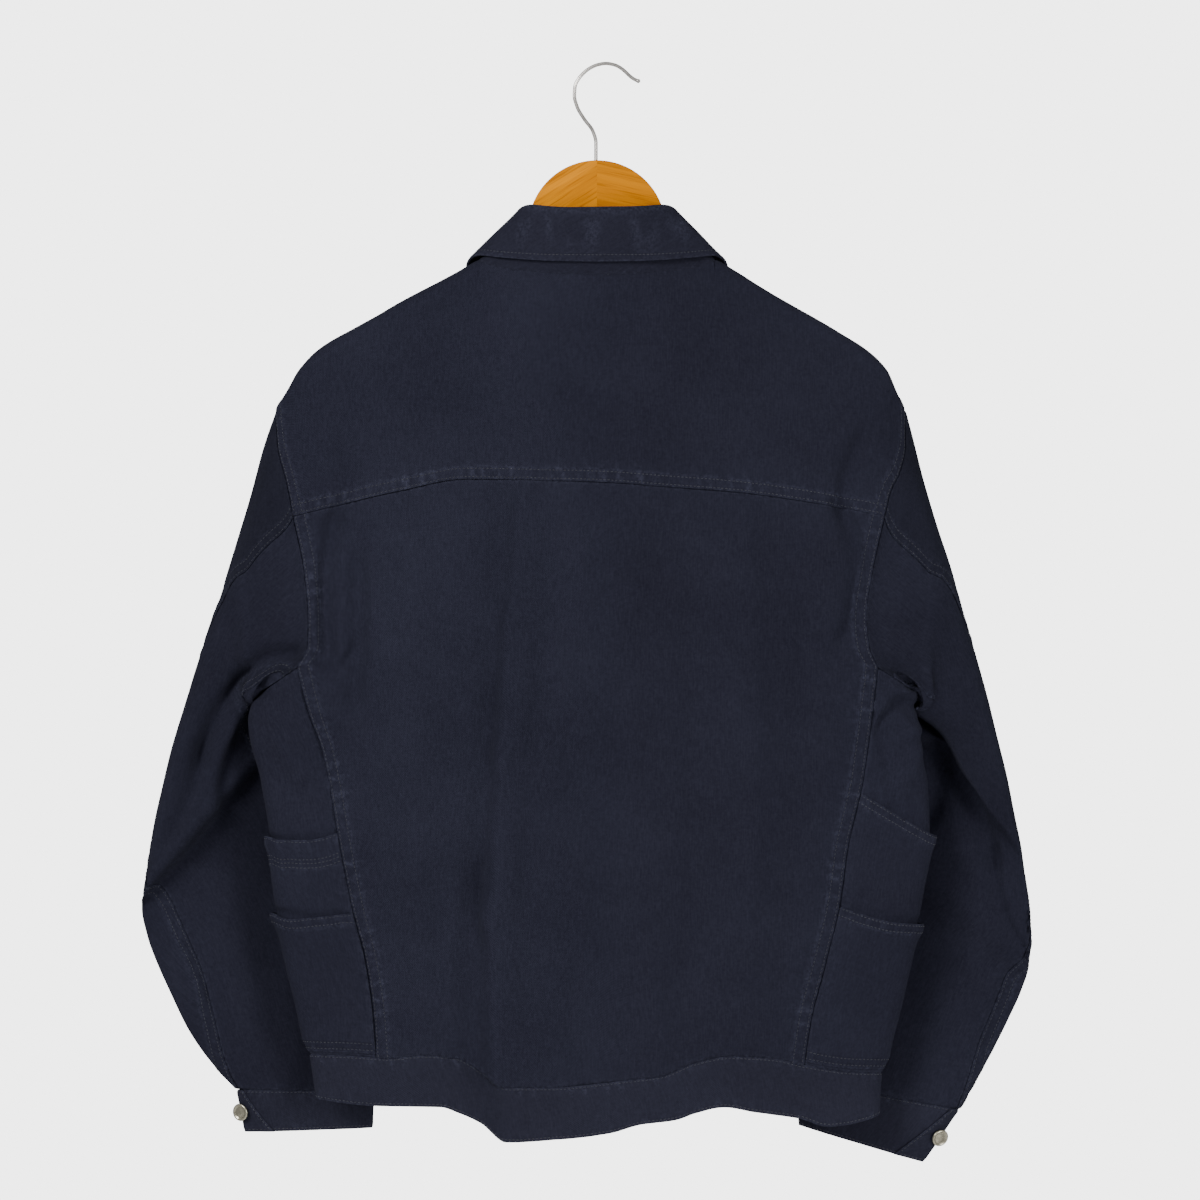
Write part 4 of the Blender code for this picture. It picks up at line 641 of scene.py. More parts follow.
def neck_z(angle):
    """Neck seam: shallow behind, deeper in front, level with the ridge at the sides."""
    rise = np.cos(np.radians(angle))
    front = NECK_SIDE_Z - NECK_FRONT_DROP * np.abs(rise) ** 0.9
    return np.where(rise >= 0.0, NECK_SIDE_Z - NECK_BACK_DROP * rise, front)


def neck_seam_angle(side):
    """Where the neck seam passes from the yoke to a front: it leaves the shoulder fold there."""
    angles = np.linspace(90.0, 110.0, 401)
    return float(np.interp(0.0, front_q(neck_x(side * angles), neck_z(side * angles)), angles))


def neck_point(angle):
    """A point of the neck seam, on the fold over the shoulder, the back or the front."""
    x, z = neck_x(angle), neck_z(angle)
    drop = np.clip(ridge(x) - z, 0.0, None)
    face = np.where(np.abs(angle) > 90.0, 1.0, -1.0)
    on_fold = CAP * np.sin(np.arccos(np.clip(1.0 - drop / CAP, 0.0, 1.0)))
    return packed(x, np.where(drop < CAP, face * on_fold, torso_y(x, z, face)), z)


def shoulder_x(side):
    """The shoulder seam's points, from the tip to the neck."""
    neck = neck_x(side * neck_seam_angle(side))
    return np.linspace(SHOULDER_TIP[side][1], neck, SHOULDER_COLUMNS + 1)


def armhole_front_x(z, side):
    """The front armhole: the back one, scooped further in over its middle."""
    top, bottom = SHOULDER_TIP[side][0], ARMHOLE_FOOT[side][0]
    share = np.clip((z - top) / (bottom - top), 0.0, 1.0)
    return armhole_back_x[side](z) - side * ARMHOLE_FRONT_SCOOP * np.sin(math.pi * share) ** 1.5


def yoke_edge(side):
    """The yoke's end at an armhole, as (x, q) from the shoulder seam to the yoke seam."""
    z = np.linspace(SHOULDER_TIP[side][0], YOKE_SEAM[0][1], 60)
    x = armhole_back_x[side](z)
    way = back_q(x, z)
    q = stepped((-HALF_FOLD, HALF_FOLD, way[-1]), (CAP_STEPS, YOKE_ROWS))
    return packed(np.interp(q, way, x), q)


def side_top(side):
    """The foot of an armhole on the side panel, as (turn, z), from the back seam to the front one."""
    z_back, x_back = ARMHOLE_FOOT[side]
    start = float(turn_of(x_back, z_back, -1))
    end = float(turn_of(armhole_front_x(z_back, side), z_back, +1))
    turn = np.linspace(start, end, SIDE_COLUMNS + 1)
    middle = 90.0 * side
    reach = np.where(np.abs(turn) < 90.0, start - middle, end - middle)
    return packed(turn, ARMPIT_Z + (z_back - ARMPIT_Z) * np.abs((turn - middle) / reach) ** 1.7)


def around_front(turn, back_line, near_z):
    """Height of a line round the ring, straight across the front: found step by step, because the
    ring narrows downwards."""
    left, right = back_line(ring_left(near_z)), back_line(ring_right(near_z))
    z = np.full(np.shape(turn), near_z)
    for _ in range(4):
        x = ring_chart(turn, z)[..., 0]
        share = (x - ring_left(z)) / (ring_right(z) - ring_left(z))
        across = left + (right - left) * share
        z = np.where(np.cos(np.radians(turn)) > 0.0, back_line(x), across)
    return z


def waist_z(turn):
    """Height of the waistband's seam round the ring."""
    return around_front(turn, waist_seam_back, WAIST_Z)


def seam_down(side, face):
    """A side seam as (x, z) below the armhole; the front one starts from the scooped armhole."""
    top = ARMHOLE_FOOT[side][0]
    line = side_back_x[side]
    z_low = float(waist_seam_back(line(WAIST_Z)))
    z = np.linspace(top, z_low, LOWER_ROWS + 1)
    x = line(z)
    if face > 0:
        x = x + (armhole_front_x(top, side) - x[0]) * smooth_step((z - z_low) / (top - z_low))
        z_low = float(waist_z(np.array(turn_of(x[-1], WAIST_Z, +1))))
        z = np.linspace(top, z_low, LOWER_ROWS + 1)
    return packed(x, z)


def yoke_top():
    """The yoke's upper edge as (x, q): shoulder seam, round the neck, shoulder seam."""
    halves = []
    for side in SIDES:
        shoulder = shoulder_x(side)
        turns = np.linspace(neck_seam_angle(side), 90.0, NECK_FOLD_COLUMNS + 1)[1:-1]
        fold_x, back_x = neck_x(side * turns), neck_x(side * NECK_ANGLES)
        rise = (neck_z(turns) - ridge(fold_x)) / CAP + 1.0
        halves.append(np.concatenate([
            packed(shoulder, 0 * shoulder - HALF_FOLD),
            packed(fold_x, -CAP * np.arccos(np.clip(rise, 0.0, 1.0))),
            packed(back_x, back_q(back_x, neck_z(NECK_ANGLES)))]))
    return np.concatenate([halves[0], halves[1][-2::-1]])


def yoke_grid():
    """Rows keep fixed steps over the fold, then spread evenly down to the yoke seam."""
    top, left, right = yoke_top(), yoke_edge(-1), yoke_edge(+1)
    bottom_x = np.linspace(left[-1, 0], right[-1, 0], len(top))
    bottom_q = back_q(bottom_x, yoke_seam(bottom_x))
    share = np.linspace(0.0, 1.0, YOKE_ROWS + 1)[1:, None]
    start = top[None, :, 1] + np.linspace(0.0, 2.0 * HALF_FOLD, CAP_STEPS + 1)[:, None]
    q = np.concatenate([start, start[-1] + (bottom_q - start[-1]) * share])
    x = top[:, 0] + (bottom_x - top[:, 0]) * (q - q[0]) / (q[-1] - q[0])
    s = np.linspace(0.0, 1.0, len(top))
    x = x + (left[:, 0] - x[:, 0])[:, None] * (1 - s) ** 2 + (right[:, 0] - x[:, -1])[:, None] * s ** 2
    q[:, 0], q[:, -1] = left[:, 1], right[:, 1]
    return x, q


def back_edge(side):
    """A side of the back panel as (x, q): down the armhole, then down the side-back seam."""
    z = np.linspace(YOKE_SEAM[0][1], ARMHOLE_FOOT[side][0], BACK_ARM_ROWS + 1)[:-1]
    x, z = np.concatenate([packed(armhole_back_x[side](z), z), seam_down(side, -1)]).T
    return packed(x, back_q(x, z))


def seam_across(line, start, end, columns):
    """A seam across the back as (x, q)."""
    x = np.linspace(start, end, columns)
    return packed(x, back_q(x, line(x)))


def back_grid(columns):
    """Back panel in (x, q) between its two sides, the yoke seam and the waistband's seam."""
    left, right = back_edge(-1), back_edge(+1)
    return between_edges(left, right, seam_across(yoke_seam, left[0, 0], right[0, 0], columns),
                         seam_across(waist_seam_back, left[-1, 0], right[-1, 0], columns))


def side_grid(side):
    """Side panel in (turn, z) between its two seams."""
    seams = []
    for face in (-1, +1):
        x, z = seam_down(side, face).T
        seams.append(packed(turn_of(x, z, face), z))
    turn = np.linspace(seams[0][-1, 0], seams[1][-1, 0], SIDE_COLUMNS + 1)
    bottom = packed(turn, waist_z(turn))
    bottom[0], bottom[-1] = seams[0][-1], seams[1][-1]
    return between_edges(*seams, side_top(side), bottom)


def front_edge(side):
    """The outer side of a front as (x, q): down the armhole, then down the side-front seam."""
    tip_z, tip_x = SHOULDER_TIP[side]
    z = np.linspace(tip_z - CAP, ARMHOLE_FOOT[side][0], FRONT_ARM_ROWS + 1)[:-1]
    x, z = np.concatenate([packed(armhole_front_x(z, side), z), seam_down(side, +1)]).T
    x[0] = tip_x
    q = front_q(x, z)
    q[0] = 0.0
    return packed(x, q)


def front_grid(side):
    """A front between its armhole and its closing edge, which passes the middle."""
    closing_x = CENTRE_X - side * FRONT_LAP
    shoulder = shoulder_x(side)
    neck = np.append(neck_x(side * FRONT_NECK_ANGLES), (CENTRE_X, closing_x))
    neck_low = np.append(neck_z(FRONT_NECK_ANGLES), (NECK_SIDE_Z - NECK_FRONT_DROP,) * 2)
    top = np.concatenate([packed(shoulder, 0 * shoulder), packed(neck, front_q(neck, neck_low))])
    outer = front_edge(side)
    turns = [side * (float(turn_of(x, WAIST_Z, +1)) * side % 360.0)
             for x in (outer[-1, 0], closing_x)]
    bottom_turn = np.linspace(*turns, len(top))
    x, _, z = ring_chart(bottom_turn, waist_z(bottom_turn)).T
    x[0] = outer[-1, 0]
    bottom = packed(x, front_q(x, z))
    bottom[0] = outer[-1]
    closing = packed(np.linspace(closing_x, x[-1], len(outer)),
                     np.linspace(top[-1, 1], bottom[-1, 1], len(outer)))
    return between_edges(outer, closing, top, bottom)


def rows_at(grid, row):
    """Points of a grid at fractional rows: one row number for each column, or several rows of them."""
    low = np.clip(np.floor(row).astype(int), 0, grid.shape[0] - 2)
    share = (row - low)[..., None]
    column = np.arange(grid.shape[1])
    return grid[low, column] * (1 - share) + grid[low + 1, column] * share


def roll_point(angle):
    """Roll line of the collar: an oval round the neck that sinks at three places."""
    turn = np.radians(angle)
    depth = np.where(np.cos(turn) > 0.0, ROLL_BACK_Y, ROLL_FRONT_Y)
    sink = sum(amount * smooth_step((np.abs(angle) - start) / (end - start))
               for amount, start, end in ROLL_SINKS)
    return packed(CENTRE_X + ROLL_HALF * np.sin(turn), depth * np.abs(np.cos(turn)), ROLL_Z - sink)


def stand_chart(angle, share):
    """The stand: straight from the neck seam to the roll line."""
    foot, head = neck_point(angle), roll_point(angle)
    return foot + (head - foot) * (STAND_START + (STAND_END - STAND_START) * share[..., None])


def fall_chart(angle, share):
    """The fall: half a turn over the roll line, then down to the free edge."""
    half, y, z = (smooth_line(FALL_EDGE, column)(np.abs(angle)) for column in (1, 2, 3))
    free_edge = packed(CENTRE_X + np.sign(angle) * half, y, z)
    head = roll_point(angle)
    out = unit((head - (CENTRE_X, 0.0, 0.0)) * (1.0, 1.0, 0.0))
    bend = np.clip(share / FOLD_SHARE, 0.0, 1.0) * FOLD_TURN
    over = head + out * (ROLL_RADIUS * (1.0 - np.cos(bend)))[..., None]
    over[..., 2] += ROLL_RADIUS * np.sin(bend)
    fall = np.clip((share - FOLD_SHARE) / (1.0 - FOLD_SHARE), 0.0, 1.0)[..., None]
    return over + (free_edge - over) * fall


def armhole_points(side):
    """The whole armhole in order: over the yoke, down the back, round the foot, up the front.  With
    the points come the body's normals there, the yoke's corner, the armpit and each point's turn:
    0 at the shoulder, 0.5 at the armpit, 1 at the shoulder."""
    yoke, ridge_row = yoke_edge(side), CAP_STEPS // 2
    stretches = [(back_chart, yoke[ridge_row:], (0, -1, 0)),
                 (back_chart, back_edge(side)[1:BACK_ARM_ROWS + 1], (0, -1, 0)),
                 (ring_chart, side_top(side)[1:], (side, 0, 0)),
                 (front_chart, front_edge(side)[FRONT_ARM_ROWS - 1::-1], (0, 1, 0)),
                 (back_chart, yoke[1:ridge_row + 1], (0, 1, 0.5))]
    points = np.concatenate([chart(*line.T) for chart, line, _ in stretches])
    normals = np.concatenate([normals_of(chart, *line.T[:, None], BODY_STEP, out)[0]
                              for chart, line, out in stretches])
    corner = len(yoke) - 1 - ridge_row
    armpit = corner + BACK_ARM_ROWS + SIDE_COLUMNS // 2
    run = way_along(points)
    turns = np.interp(run, run[[0, armpit, -1]], (0.0, 0.5, 1.0))
    return points, normals, corner, armpit, turns


def oval(row, turn):
    """A sleeve ring: from its outer point to its inner one, bulging back and then front."""
    angle = 2.0 * math.pi * turn
    outer, inner = row[..., 0:3], row[..., 3:6]
    reach = signed_power(np.cos(angle), 2.0 / SLEEVE_POWER)[..., None]
    x, z, y = np.moveaxis((outer + inner) / 2 + (outer - inner) / 2 * reach, -1, 0)
    bulge = signed_power(np.sin(angle), 2.0 / SLEEVE_POWER)
    return packed(x, y - np.where(bulge > 0.0, row[..., 6], row[..., 7]) * bulge, z)


def sleeve_chart(side):
    """The sleeve's surface as a function of the turn and of the ring's number."""
    rings = SLEEVE_RINGS[side]
    rows = [(float(number), *row) for number, row in enumerate(rings)]
    lines = [smooth_line(rows, column) for column in range(1, 9)]
    points, _, _, _, turns = armhole_points(side)

    def chart(turn, station):
        row = packed(*(line(station) for line in lines))
        whole = turn % 1.0
        start = interpolated(whole, turns, points)
        slack = 1.0 - smooth_step(station / ARMHOLE_EASE)
        return oval(row, turn) + (start - oval(np.array(rings[0]), whole)) * slack[..., None]
    return chart


def sleeve_piece_turns(start, end, first_turns, station):
    """Turns of a piece's columns: the armhole's own points first, then evenly between its seams.  The
    stations and the seams' turns there are columns of numbers."""
    first = (first_turns - first_turns[0]) / (first_turns[-1] - first_turns[0])
    even = np.linspace(0.0, 1.0, len(first))
    return start + (end - start) * (first + (even - first) * smooth_step(station / 4.0))


def start_normals(body, sleeve):
    """At the armhole the sleeve's wall leans like the body's, wherever the two run on smoothly."""
    match = np.clip((np.sum(body * sleeve, axis=1) + 0.1) / 0.4, 0.0, 1.0)[:, None]
    return unit(sleeve * (1 - match) + body * match)


def drawn_back(points, draw, first_draw=None):
    """Every edge of a grid pulled square to itself towards the next row or column."""
    result = points.copy()
    for axis in (0, 1):
        for row, inner in ((0, 1), (-1, -2)):
            line = np.take(points, row, axis=axis)
            inward = np.take(points, inner, axis=axis) - line
            run = np.gradient(line, axis=0)
            inward -= run * (np.sum(inward * run, axis=1) / np.sum(run * run, axis=1))[:, None]
            amount = first_draw if first_draw and (axis, row) == (0, 0) else draw
            np.moveaxis(result, axis, 0)[row] += unit(inward) * amount
    return result


# ------------------------------------------------------------------------------ relief of the cloth
def refined(grid, cells=5, parts=3):
    """Extra lines near all four edges of a grid: its outer cells are cut into equal parts."""
    for axis in (0, 1):
        count = grid.shape[axis] - 1
        near = np.arange(0.0, cells, 1.0 / parts)
        lines = np.concatenate([near, np.arange(cells, count - cells + 1.0), count - near[::-1]])
        low = np.minimum(np.floor(lines).astype(int), count - 1)
        share = (lines - low).reshape((-1, 1) if axis == 0 else (1, -1))
        grid = np.take(grid, low, axis) * (1.0 - share) + np.take(grid, low + 1, axis) * share
    return grid


def edge_ways(points):
    """For each edge of a grid, every point's distance from it and its distance along it."""
    u, v = way_along(points.swapaxes(0, 1)).T, way_along(points)
    return {"left": (u, v), "right": (u[:, -1:] - u, v), "top": (v, u), "bottom": (v[-1:] - v, u)}


def seam_waves(along, seed):
    """Uneven short waves along a seam: five sines of chance lengths, stronger in some stretches."""
    chance = np.random.default_rng(seed)
    lengths = chance.uniform(5.5, 15.0, 5)
    phases = chance.uniform(0.0, 2.0 * math.pi, 7)
    waves = sum(np.sin(2.0 * math.pi * along / length + phase)
                for length, phase in zip(lengths, phases))
    stretch = 0.6 + 0.4 * np.sin(along / 13.0 + phases[5]) * np.sin(along / 31.0 + phases[6])
    return waves / 2.2 * stretch


def edge_relief(away, along, finish, seed):
    """A sewn edge: it rolls down at the seam, a folded strip lies beside it, each row of stitches
    sinks in, and puckers run across.  Worn are the edge, the strip's border and the crests."""
    strip, pucker = finish["strip"], finish["pucker"]
    height = (finish["lift"] * smooth_step((strip + 0.7 - away) / 1.2)
              - finish["roll"] * bell(away, 1.1))
    broken = 0.55 + 0.45 * np.clip(seam_waves(along, seed + 7), -1.0, 1.0)
    wear = 0.9 * broken * bell(away, 1.4)
    if strip:
        wear = wear + 0.6 * broken[::-1, ::-1] * bell(away - strip, 1.2)
    for row in finish["rows"]:
        height = height - STITCH_SINK * bell(away - row, STITCH_SINK_WIDTH)
    reach = max(strip, 6.0)
    waves = seam_waves(along, seed) * bell(away - 0.5 * reach, 0.75 * reach)
    return height + pucker * waves, wear + 1.3 * pucker * np.clip(waves, 0.0, 1.0)


def creases(points, places):
    """Height of the creases at places seen from behind.  Each one bends through three places, has a
    soft flank of its own width on either side, and fades beyond its ends."""
    x, z = points[..., 0], points[..., 2]
    height = np.zeros(x.shape)
    for x0, z0, x1, z1, x2, z2, left, right, amount in places:
        length = math.hypot(x2 - x0, z2 - z0)
        dx, dz = (x2 - x0) / length, (z2 - z0) / length
        along = ((x - x0) * dx + (z - z0) * dz) / length
        bow = (z1 - z0) * dx - (x1 - x0) * dz
        across = (z - z0) * dx - (x - x0) * dz - 4.0 * along * (1.0 - along) * bow
        beyond = np.maximum(np.maximum(-along, along - 1.0), 0.0) * length
        width = np.where(across > 0.0, left, right)
        height += amount * bell(across, width) * bell(beyond, CREASE_FADE)
    return height


def soft_waves(points, size, seed):
    """A gentle unevenness: twelve plane waves of chance directions, lengths near one size."""
    chance = np.random.default_rng(seed)
    height = np.zeros(points.shape[:-1])
    for _ in range(12):
        direction = unit(chance.normal(size=3))
        length = size * chance.uniform(0.7, 1.6)
        height += np.sin(points @ direction * 2.0 * math.pi / length + chance.uniform(0.0, 6.3))
    return height / 3.5


def finished(points, edges, seed):
    """Relief and wear of a panel's sewn edges: edges maps an edge's name to its finish."""
    ways = edge_ways(points)
    height, wear = np.zeros(points.shape[:2]), np.zeros(points.shape[:2])
    for number, (name, finish) in enumerate(edges.items()):
        lift, worn = edge_relief(*ways[name], finish, seed * 10 + number)
        height += lift
        wear = np.maximum(wear, worn)
    return height, wear


# --------------------------------------------------------------------------------- cloth and threads
# Flat cut of each piece, in metres:  name | width length area | held | what it rests on
CUTS = {
    "back_yoke": (0.640, 0.211, 0.0870, "hung", ["hanger_wood"]),
    "back_panel": (0.472, 0.481, 0.1900, "hung", ["back_yoke"]),
    "side_panel_left": (0.140, 0.315, 0.0380, "hung", ["back_panel"]),
    "side_panel_right": (0.147, 0.323, 0.0405, "hung", ["back_panel"]),
    "side_pocket_left": (0.141, 0.177, 0.0235, "laid", ["side_panel_left"]),
    "side_pocket_right": (0.152, 0.220, 0.0300, "laid", ["side_panel_right"]),
    "side_pocket_left_lower": (0.142, 0.113, 0.0157, "laid", ["side_pocket_left"]),
    "side_pocket_right_lower": (0.147, 0.129, 0.0186, "laid", ["side_pocket_right"]),
    "front_left": (0.345, 0.632, 0.1380, "hung", ["hanger_wood"]),
    "front_right": (0.338, 0.634, 0.1345, "hung", ["hanger_wood"]),
    "waistband": (0.989, 0.046, 0.0383, "hung", ["back_panel", "front_left", "front_right"]),
    "collar_stand": (0.460, 0.060, 0.0176, "folded", ["back_yoke"]),
    "collar_leaf": (0.579, 0.101, 0.0353, "folded", ["collar_stand"]),
    "sleeve_left_over": (0.340, 0.565, 0.0703, "hung", ["back_yoke"]),
    "sleeve_right_over": (0.340, 0.574, 0.0708, "hung", ["back_yoke"]),
    "sleeve_left_under": (0.163, 0.551, 0.0532, "hung", ["back_panel"]),
    "sleeve_right_under": (0.155, 0.557, 0.0535, "hung", ["back_panel"]),
    "cuff_left": (0.241, 0.035, 0.0079, "hung", ["sleeve_left_over"]),
    "cuff_right": (0.282, 0.051, 0.0111, "hung", ["sleeve_right_over"])}
# Where an edge lies in a grid:  axis | its row | the next row in
EDGE_PLACES = {"top": (0, 0, 1), "bottom": (0, -1, -2), "left": (1, 0, 1), "right": (1, -1, -2)}
STITCH_PITCH = 3.1
STITCH_LENGTH = 2.3
STITCH_R = 0.26
STITCH_SUNK = -0.2          # a stitch's tips below the cloth, and its middle above it
STITCH_UP = 0.05
threads = []


def new_mesh(name, vertices, faces):
    """A mesh from places in millimetres."""
    mesh = bpy.data.meshes.new(name)
    mesh.from_pydata((np.asarray(vertices) * MM).tolist(), [], faces)
    return mesh


def add_piece(name, mesh, material, slot):
    """A smooth piece of one material that rides on the jacket."""
    mesh.shade_smooth()
    mesh.materials.clear()
    mesh.materials.append(material)
    piece = bpy.data.objects.new(name, mesh)
    bpy.context.scene.collection.objects.link(piece)
    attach(piece, "root")
    return piece


def turn_outwards(mesh, merged=0.0):
    """All faces of closed forms turned outwards, after points nearer than a distance are merged."""
    work = bmesh.new()
    work.from_mesh(mesh)
    if merged:
        bmesh.ops.remove_doubles(work, verts=work.verts, dist=merged)
    bmesh.ops.recalc_face_normals(work, faces=work.faces)
    work.to_mesh(mesh)
    work.free()


def wall_faces(rows, columns):
    """Quads of a closed wall: the outer grid, the inner grid turned round, and the rim between."""
    count = rows * columns
    index = np.arange(count).reshape(rows, columns)
    quads = packed(index[:-1, :-1], index[1:, :-1], index[1:, 1:], index[:-1, 1:]).reshape(-1, 4)
    rim = np.concatenate([index[0, :], index[1:, -1], index[-1, -2::-1], index[-2:0:-1, 0]])
    after = np.roll(rim, -1)
    rim_quads = packed(rim, after, after + count, rim + count)
    return np.concatenate([quads, quads[:, ::-1] + count, rim_quads])


def faces_out(points, normals):
    """True where a grid's own winding already looks along its normals."""
    r, c = points.shape[0] // 2, points.shape[1] // 2
    down, right = points[r + 1, c] - points[r, c], points[r, c + 1] - points[r, c]
    return np.dot(np.cross(down, right), normals[r, c]) > 0.0


def tucked(grid, normals, names):
    """The named edges carried on under their neighbours, one cloth lower."""
    for axis, row, inner in (EDGE_PLACES[name] for name in names):
        line = np.take(grid, row, axis)
        way = unit(line - np.take(grid, inner, axis)) * TUCK
        np.moveaxis(grid, axis, 0)[row] = line + way - TUCK_DOWN * np.take(normals, row, axis)
    return grid


def sew(outer, normals, name, distance):
    """A row of stitches at a distance from an edge, kept for the one mesh of all threads."""
    axis, row, _ = EDGE_PLACES[name]
    both = np.moveaxis(np.concatenate([outer, normals], axis=-1), axis, 0)[::-1 if row else 1]
    run = way_along(both[..., :3])
    k = np.clip((run < distance).sum(axis=0) - 1, 0, len(both) - 2)
    column = np.arange(both.shape[1])
    share = (distance - run[k, column]) / (run[k + 1, column] - run[k, column])
    line = rows_at(both, k + share)
    way = way_along(line[:, :3])
    places = np.arange(STITCH_PITCH, way[-1] - STITCH_PITCH, STITCH_PITCH)
    ahead, behind = (interpolated(places + step, way, line)[:, :3] for step in (0.6, -0.6))
    threads.append(np.concatenate([interpolated(places, way, line), ahead - behind], axis=1))


def cloth_piece(name, points, normals, edges, seed, cloth, height=0.0, wear=0.0, waves=(), fade=1.0,
                draw=SEAM_DRAW, first_draw=None, thickness=CLOTH, plan=None):
    """One cut piece: the relief of its sewn edges and gentle waves (their height, length and seed),
    both faded by a share, and its own height.  Its outer skin has that height and its inner skin
    lies a cloth below.  Returns the height."""
    lift, worn = finished(points, edges, seed)
    lift = lift + sum(amount * soft_waves(points, *wave) for amount, *wave in waves)
    height, worn = height + lift * fade, np.maximum(worn, wear)
    plain = [edge for edge, finish in edges.items() if finish is PLAIN]
    outer, inner = (tucked(drawn_back(points + normals * skin[..., None], draw, first_draw),
                           normals, plain) for skin in (height, height - thickness))
    faces = wall_faces(*points.shape[:2])
    if not faces_out(points, normals):
        faces = faces[:, ::-1]
    vertices = np.concatenate([outer.reshape(-1, 3), inner.reshape(-1, 3)])
    piece = add_piece(name + "_cloth", new_mesh(name + "_cloth", vertices, faces.tolist()), *cloth)
    ways = edge_ways(points)
    plan = packed(*(plan or (ways["left"][0], -ways["top"][0]))).reshape(-1, 2) * MM
    layer = piece.data.uv_layers.new(name="cloth_plan")
    layer.data.foreach_set("uv", np.tile(plan, (2, 1))[faces].astype(np.float32).ravel())
    attribute = piece.data.attributes.new("wear", "FLOAT", "POINT")
    attribute.data.foreach_set("value", np.concatenate([worn.ravel(), 0.0 * worn.ravel()]))
    width, length, area, held, rests_on = CUTS[name]
    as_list(rests_on)
    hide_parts(name)
    for edge, finish in edges.items():
        for distance in finish["rows"]:
            sew(outer, normals, edge, distance)
    return height


def build_threads():
    """All stitches in one mesh: each is a spindle of two square rings between two sunk tips."""
    rows = np.concatenate(threads)
    centre, normal, tangent = rows[:, 0:3], unit(rows[:, 3:6]), unit(rows[:, 6:9])
    beside = np.cross(normal, tangent)
    half = STITCH_LENGTH / 2
    square = [(STITCH_R, STITCH_UP), (0.0, STITCH_UP + STITCH_R), (-STITCH_R, STITCH_UP),
              (0.0, STITCH_UP - STITCH_R)]
    places = [(-half, 0.0, STITCH_SUNK),
              *((at, b, n) for at in (-0.5 * half, 0.5 * half) for b, n in square),
              (half, 0.0, STITCH_SUNK)]
    vertices = np.stack([centre + tangent * t + beside * b + normal * n for t, b, n in places], axis=1)
    ring = [(side + 1, (side + 1) % 4 + 1) for side in range(4)]
    tips = [(0, b, a) for a, b in ring] + [(9, a + 4, b + 4) for a, b in ring]
    quads = [(a, b, b + 4, a + 4) for a, b in ring]
    start = 10 * np.arange(len(rows))[:, None, None]
    faces = [(start + np.array(shape)).reshape(-1, len(shape[0])).tolist() for shape in (tips, quads)]
    mesh = new_mesh("topstitching", vertices.reshape(-1, 3), faces[0] + faces[1])
    turn_outwards(mesh)
    add_piece("topstitching", mesh, THREADS, "twill")


# --------------------------------------------------------------------------------------- materials
FULL_TURN = 6.2832          # radians


class Nodes:
    """Short ways to add nodes to a tree, their inputs linked from sockets or set to values."""

    def __init__(self, tree):
        self.tree = tree

    @property
    def place(self):
        """The object's own place."""
        return self.add("TexCoord").outputs["Object"]

    def link(self, made, links):
        """Every named input linked from a socket or set to a value."""
        for key, value in links.items():
            if isinstance(value, bpy.types.NodeSocket):
                self.tree.links.new(value, made.inputs[key])
            else:
                made.inputs[key].default_value = value

    def add(self, kind, links=(), **settings):
        """A shader node with its settings and inputs."""
        made = self.tree.nodes.new("ShaderNode" + kind)
        for key, value in settings.items():
            setattr(made, key, value)
        self.link(made, dict(links))
        return made

    def calc(self, operation, *values, clamp=False):
        """One operation on one to three values."""
        return self.add("Math", enumerate(values), operation=operation, use_clamp=clamp).outputs[0]

    def sine(self, turns):
        """The sine of a number of whole turns."""
        return self.calc("SINE", self.calc("MULTIPLY", turns, FULL_TURN))

    def noise(self, place, scale, detail=2.0, **more):
        """Cloudy values round 0.5, finer with a larger scale."""
        links = {"Vector": place, "Scale": scale, "Detail": detail, **more}
        return self.add("TexNoise", links).outputs["Fac"]

    def stretched(self, place, scale, lean=0.0):
        """A place leaned about Y and scaled along its axes."""
        links = {"Vector": place, "Scale": scale, "Rotation": (0.0, lean, 0.0)}
        return self.add("Mapping", links).outputs[0]

    def span(self, value, low, high, top=1.0):
        """0 below the low value, rising to the top at the high one."""
        links = {"Value": value, "From Min": low, "From Max": high, "To Max": top}
        return self.add("MapRange", links).outputs[0]

    def mixed(self, share, first, second):
        """From the first colour to the second one."""
        return self.add("Mix", {0: share, 6: first, 7: second}, data_type="RGBA").outputs[2]

    def bump(self, height, strength, distance):
        """A shading normal that follows a height."""
        links = {"Height": height, "Strength": strength, "Distance": distance}
        return self.add("Bump", links).outputs[0]

    def shade(self, **constants):
        """The material's own shader, with values or sockets for its inputs."""
        links = {key.replace("_", " "): value for key, value in constants.items()}
        self.link(self.tree.nodes["Principled BSDF"], links)


def group(name, inputs, outputs):
    """A node group.  An input without a default is a vector, one of four numbers a colour."""
    tree = bpy.data.node_groups.new(name, "ShaderNodeTree")
    for label, value in inputs.items():
        kind = "Vector" if value is None else "Float" if isinstance(value, float) else "Color"
        socket = tree.interface.new_socket(label, in_out="INPUT", socket_type="NodeSocket" + kind)
        if value is not None:
            socket.default_value = value
    for label in outputs:
        kind = "Color" if label == "Color" else "Float"
        tree.interface.new_socket(label, in_out="OUTPUT", socket_type="NodeSocket" + kind)
    given, result = tree.nodes.new("NodeGroupInput"), tree.nodes.new("NodeGroupOutput")
    return Nodes(tree), given.outputs, result


def opaque(colour, share=1.0):
    """A colour with full cover, darkened to a share."""
    return (*(share * channel for channel in colour), 1.0)


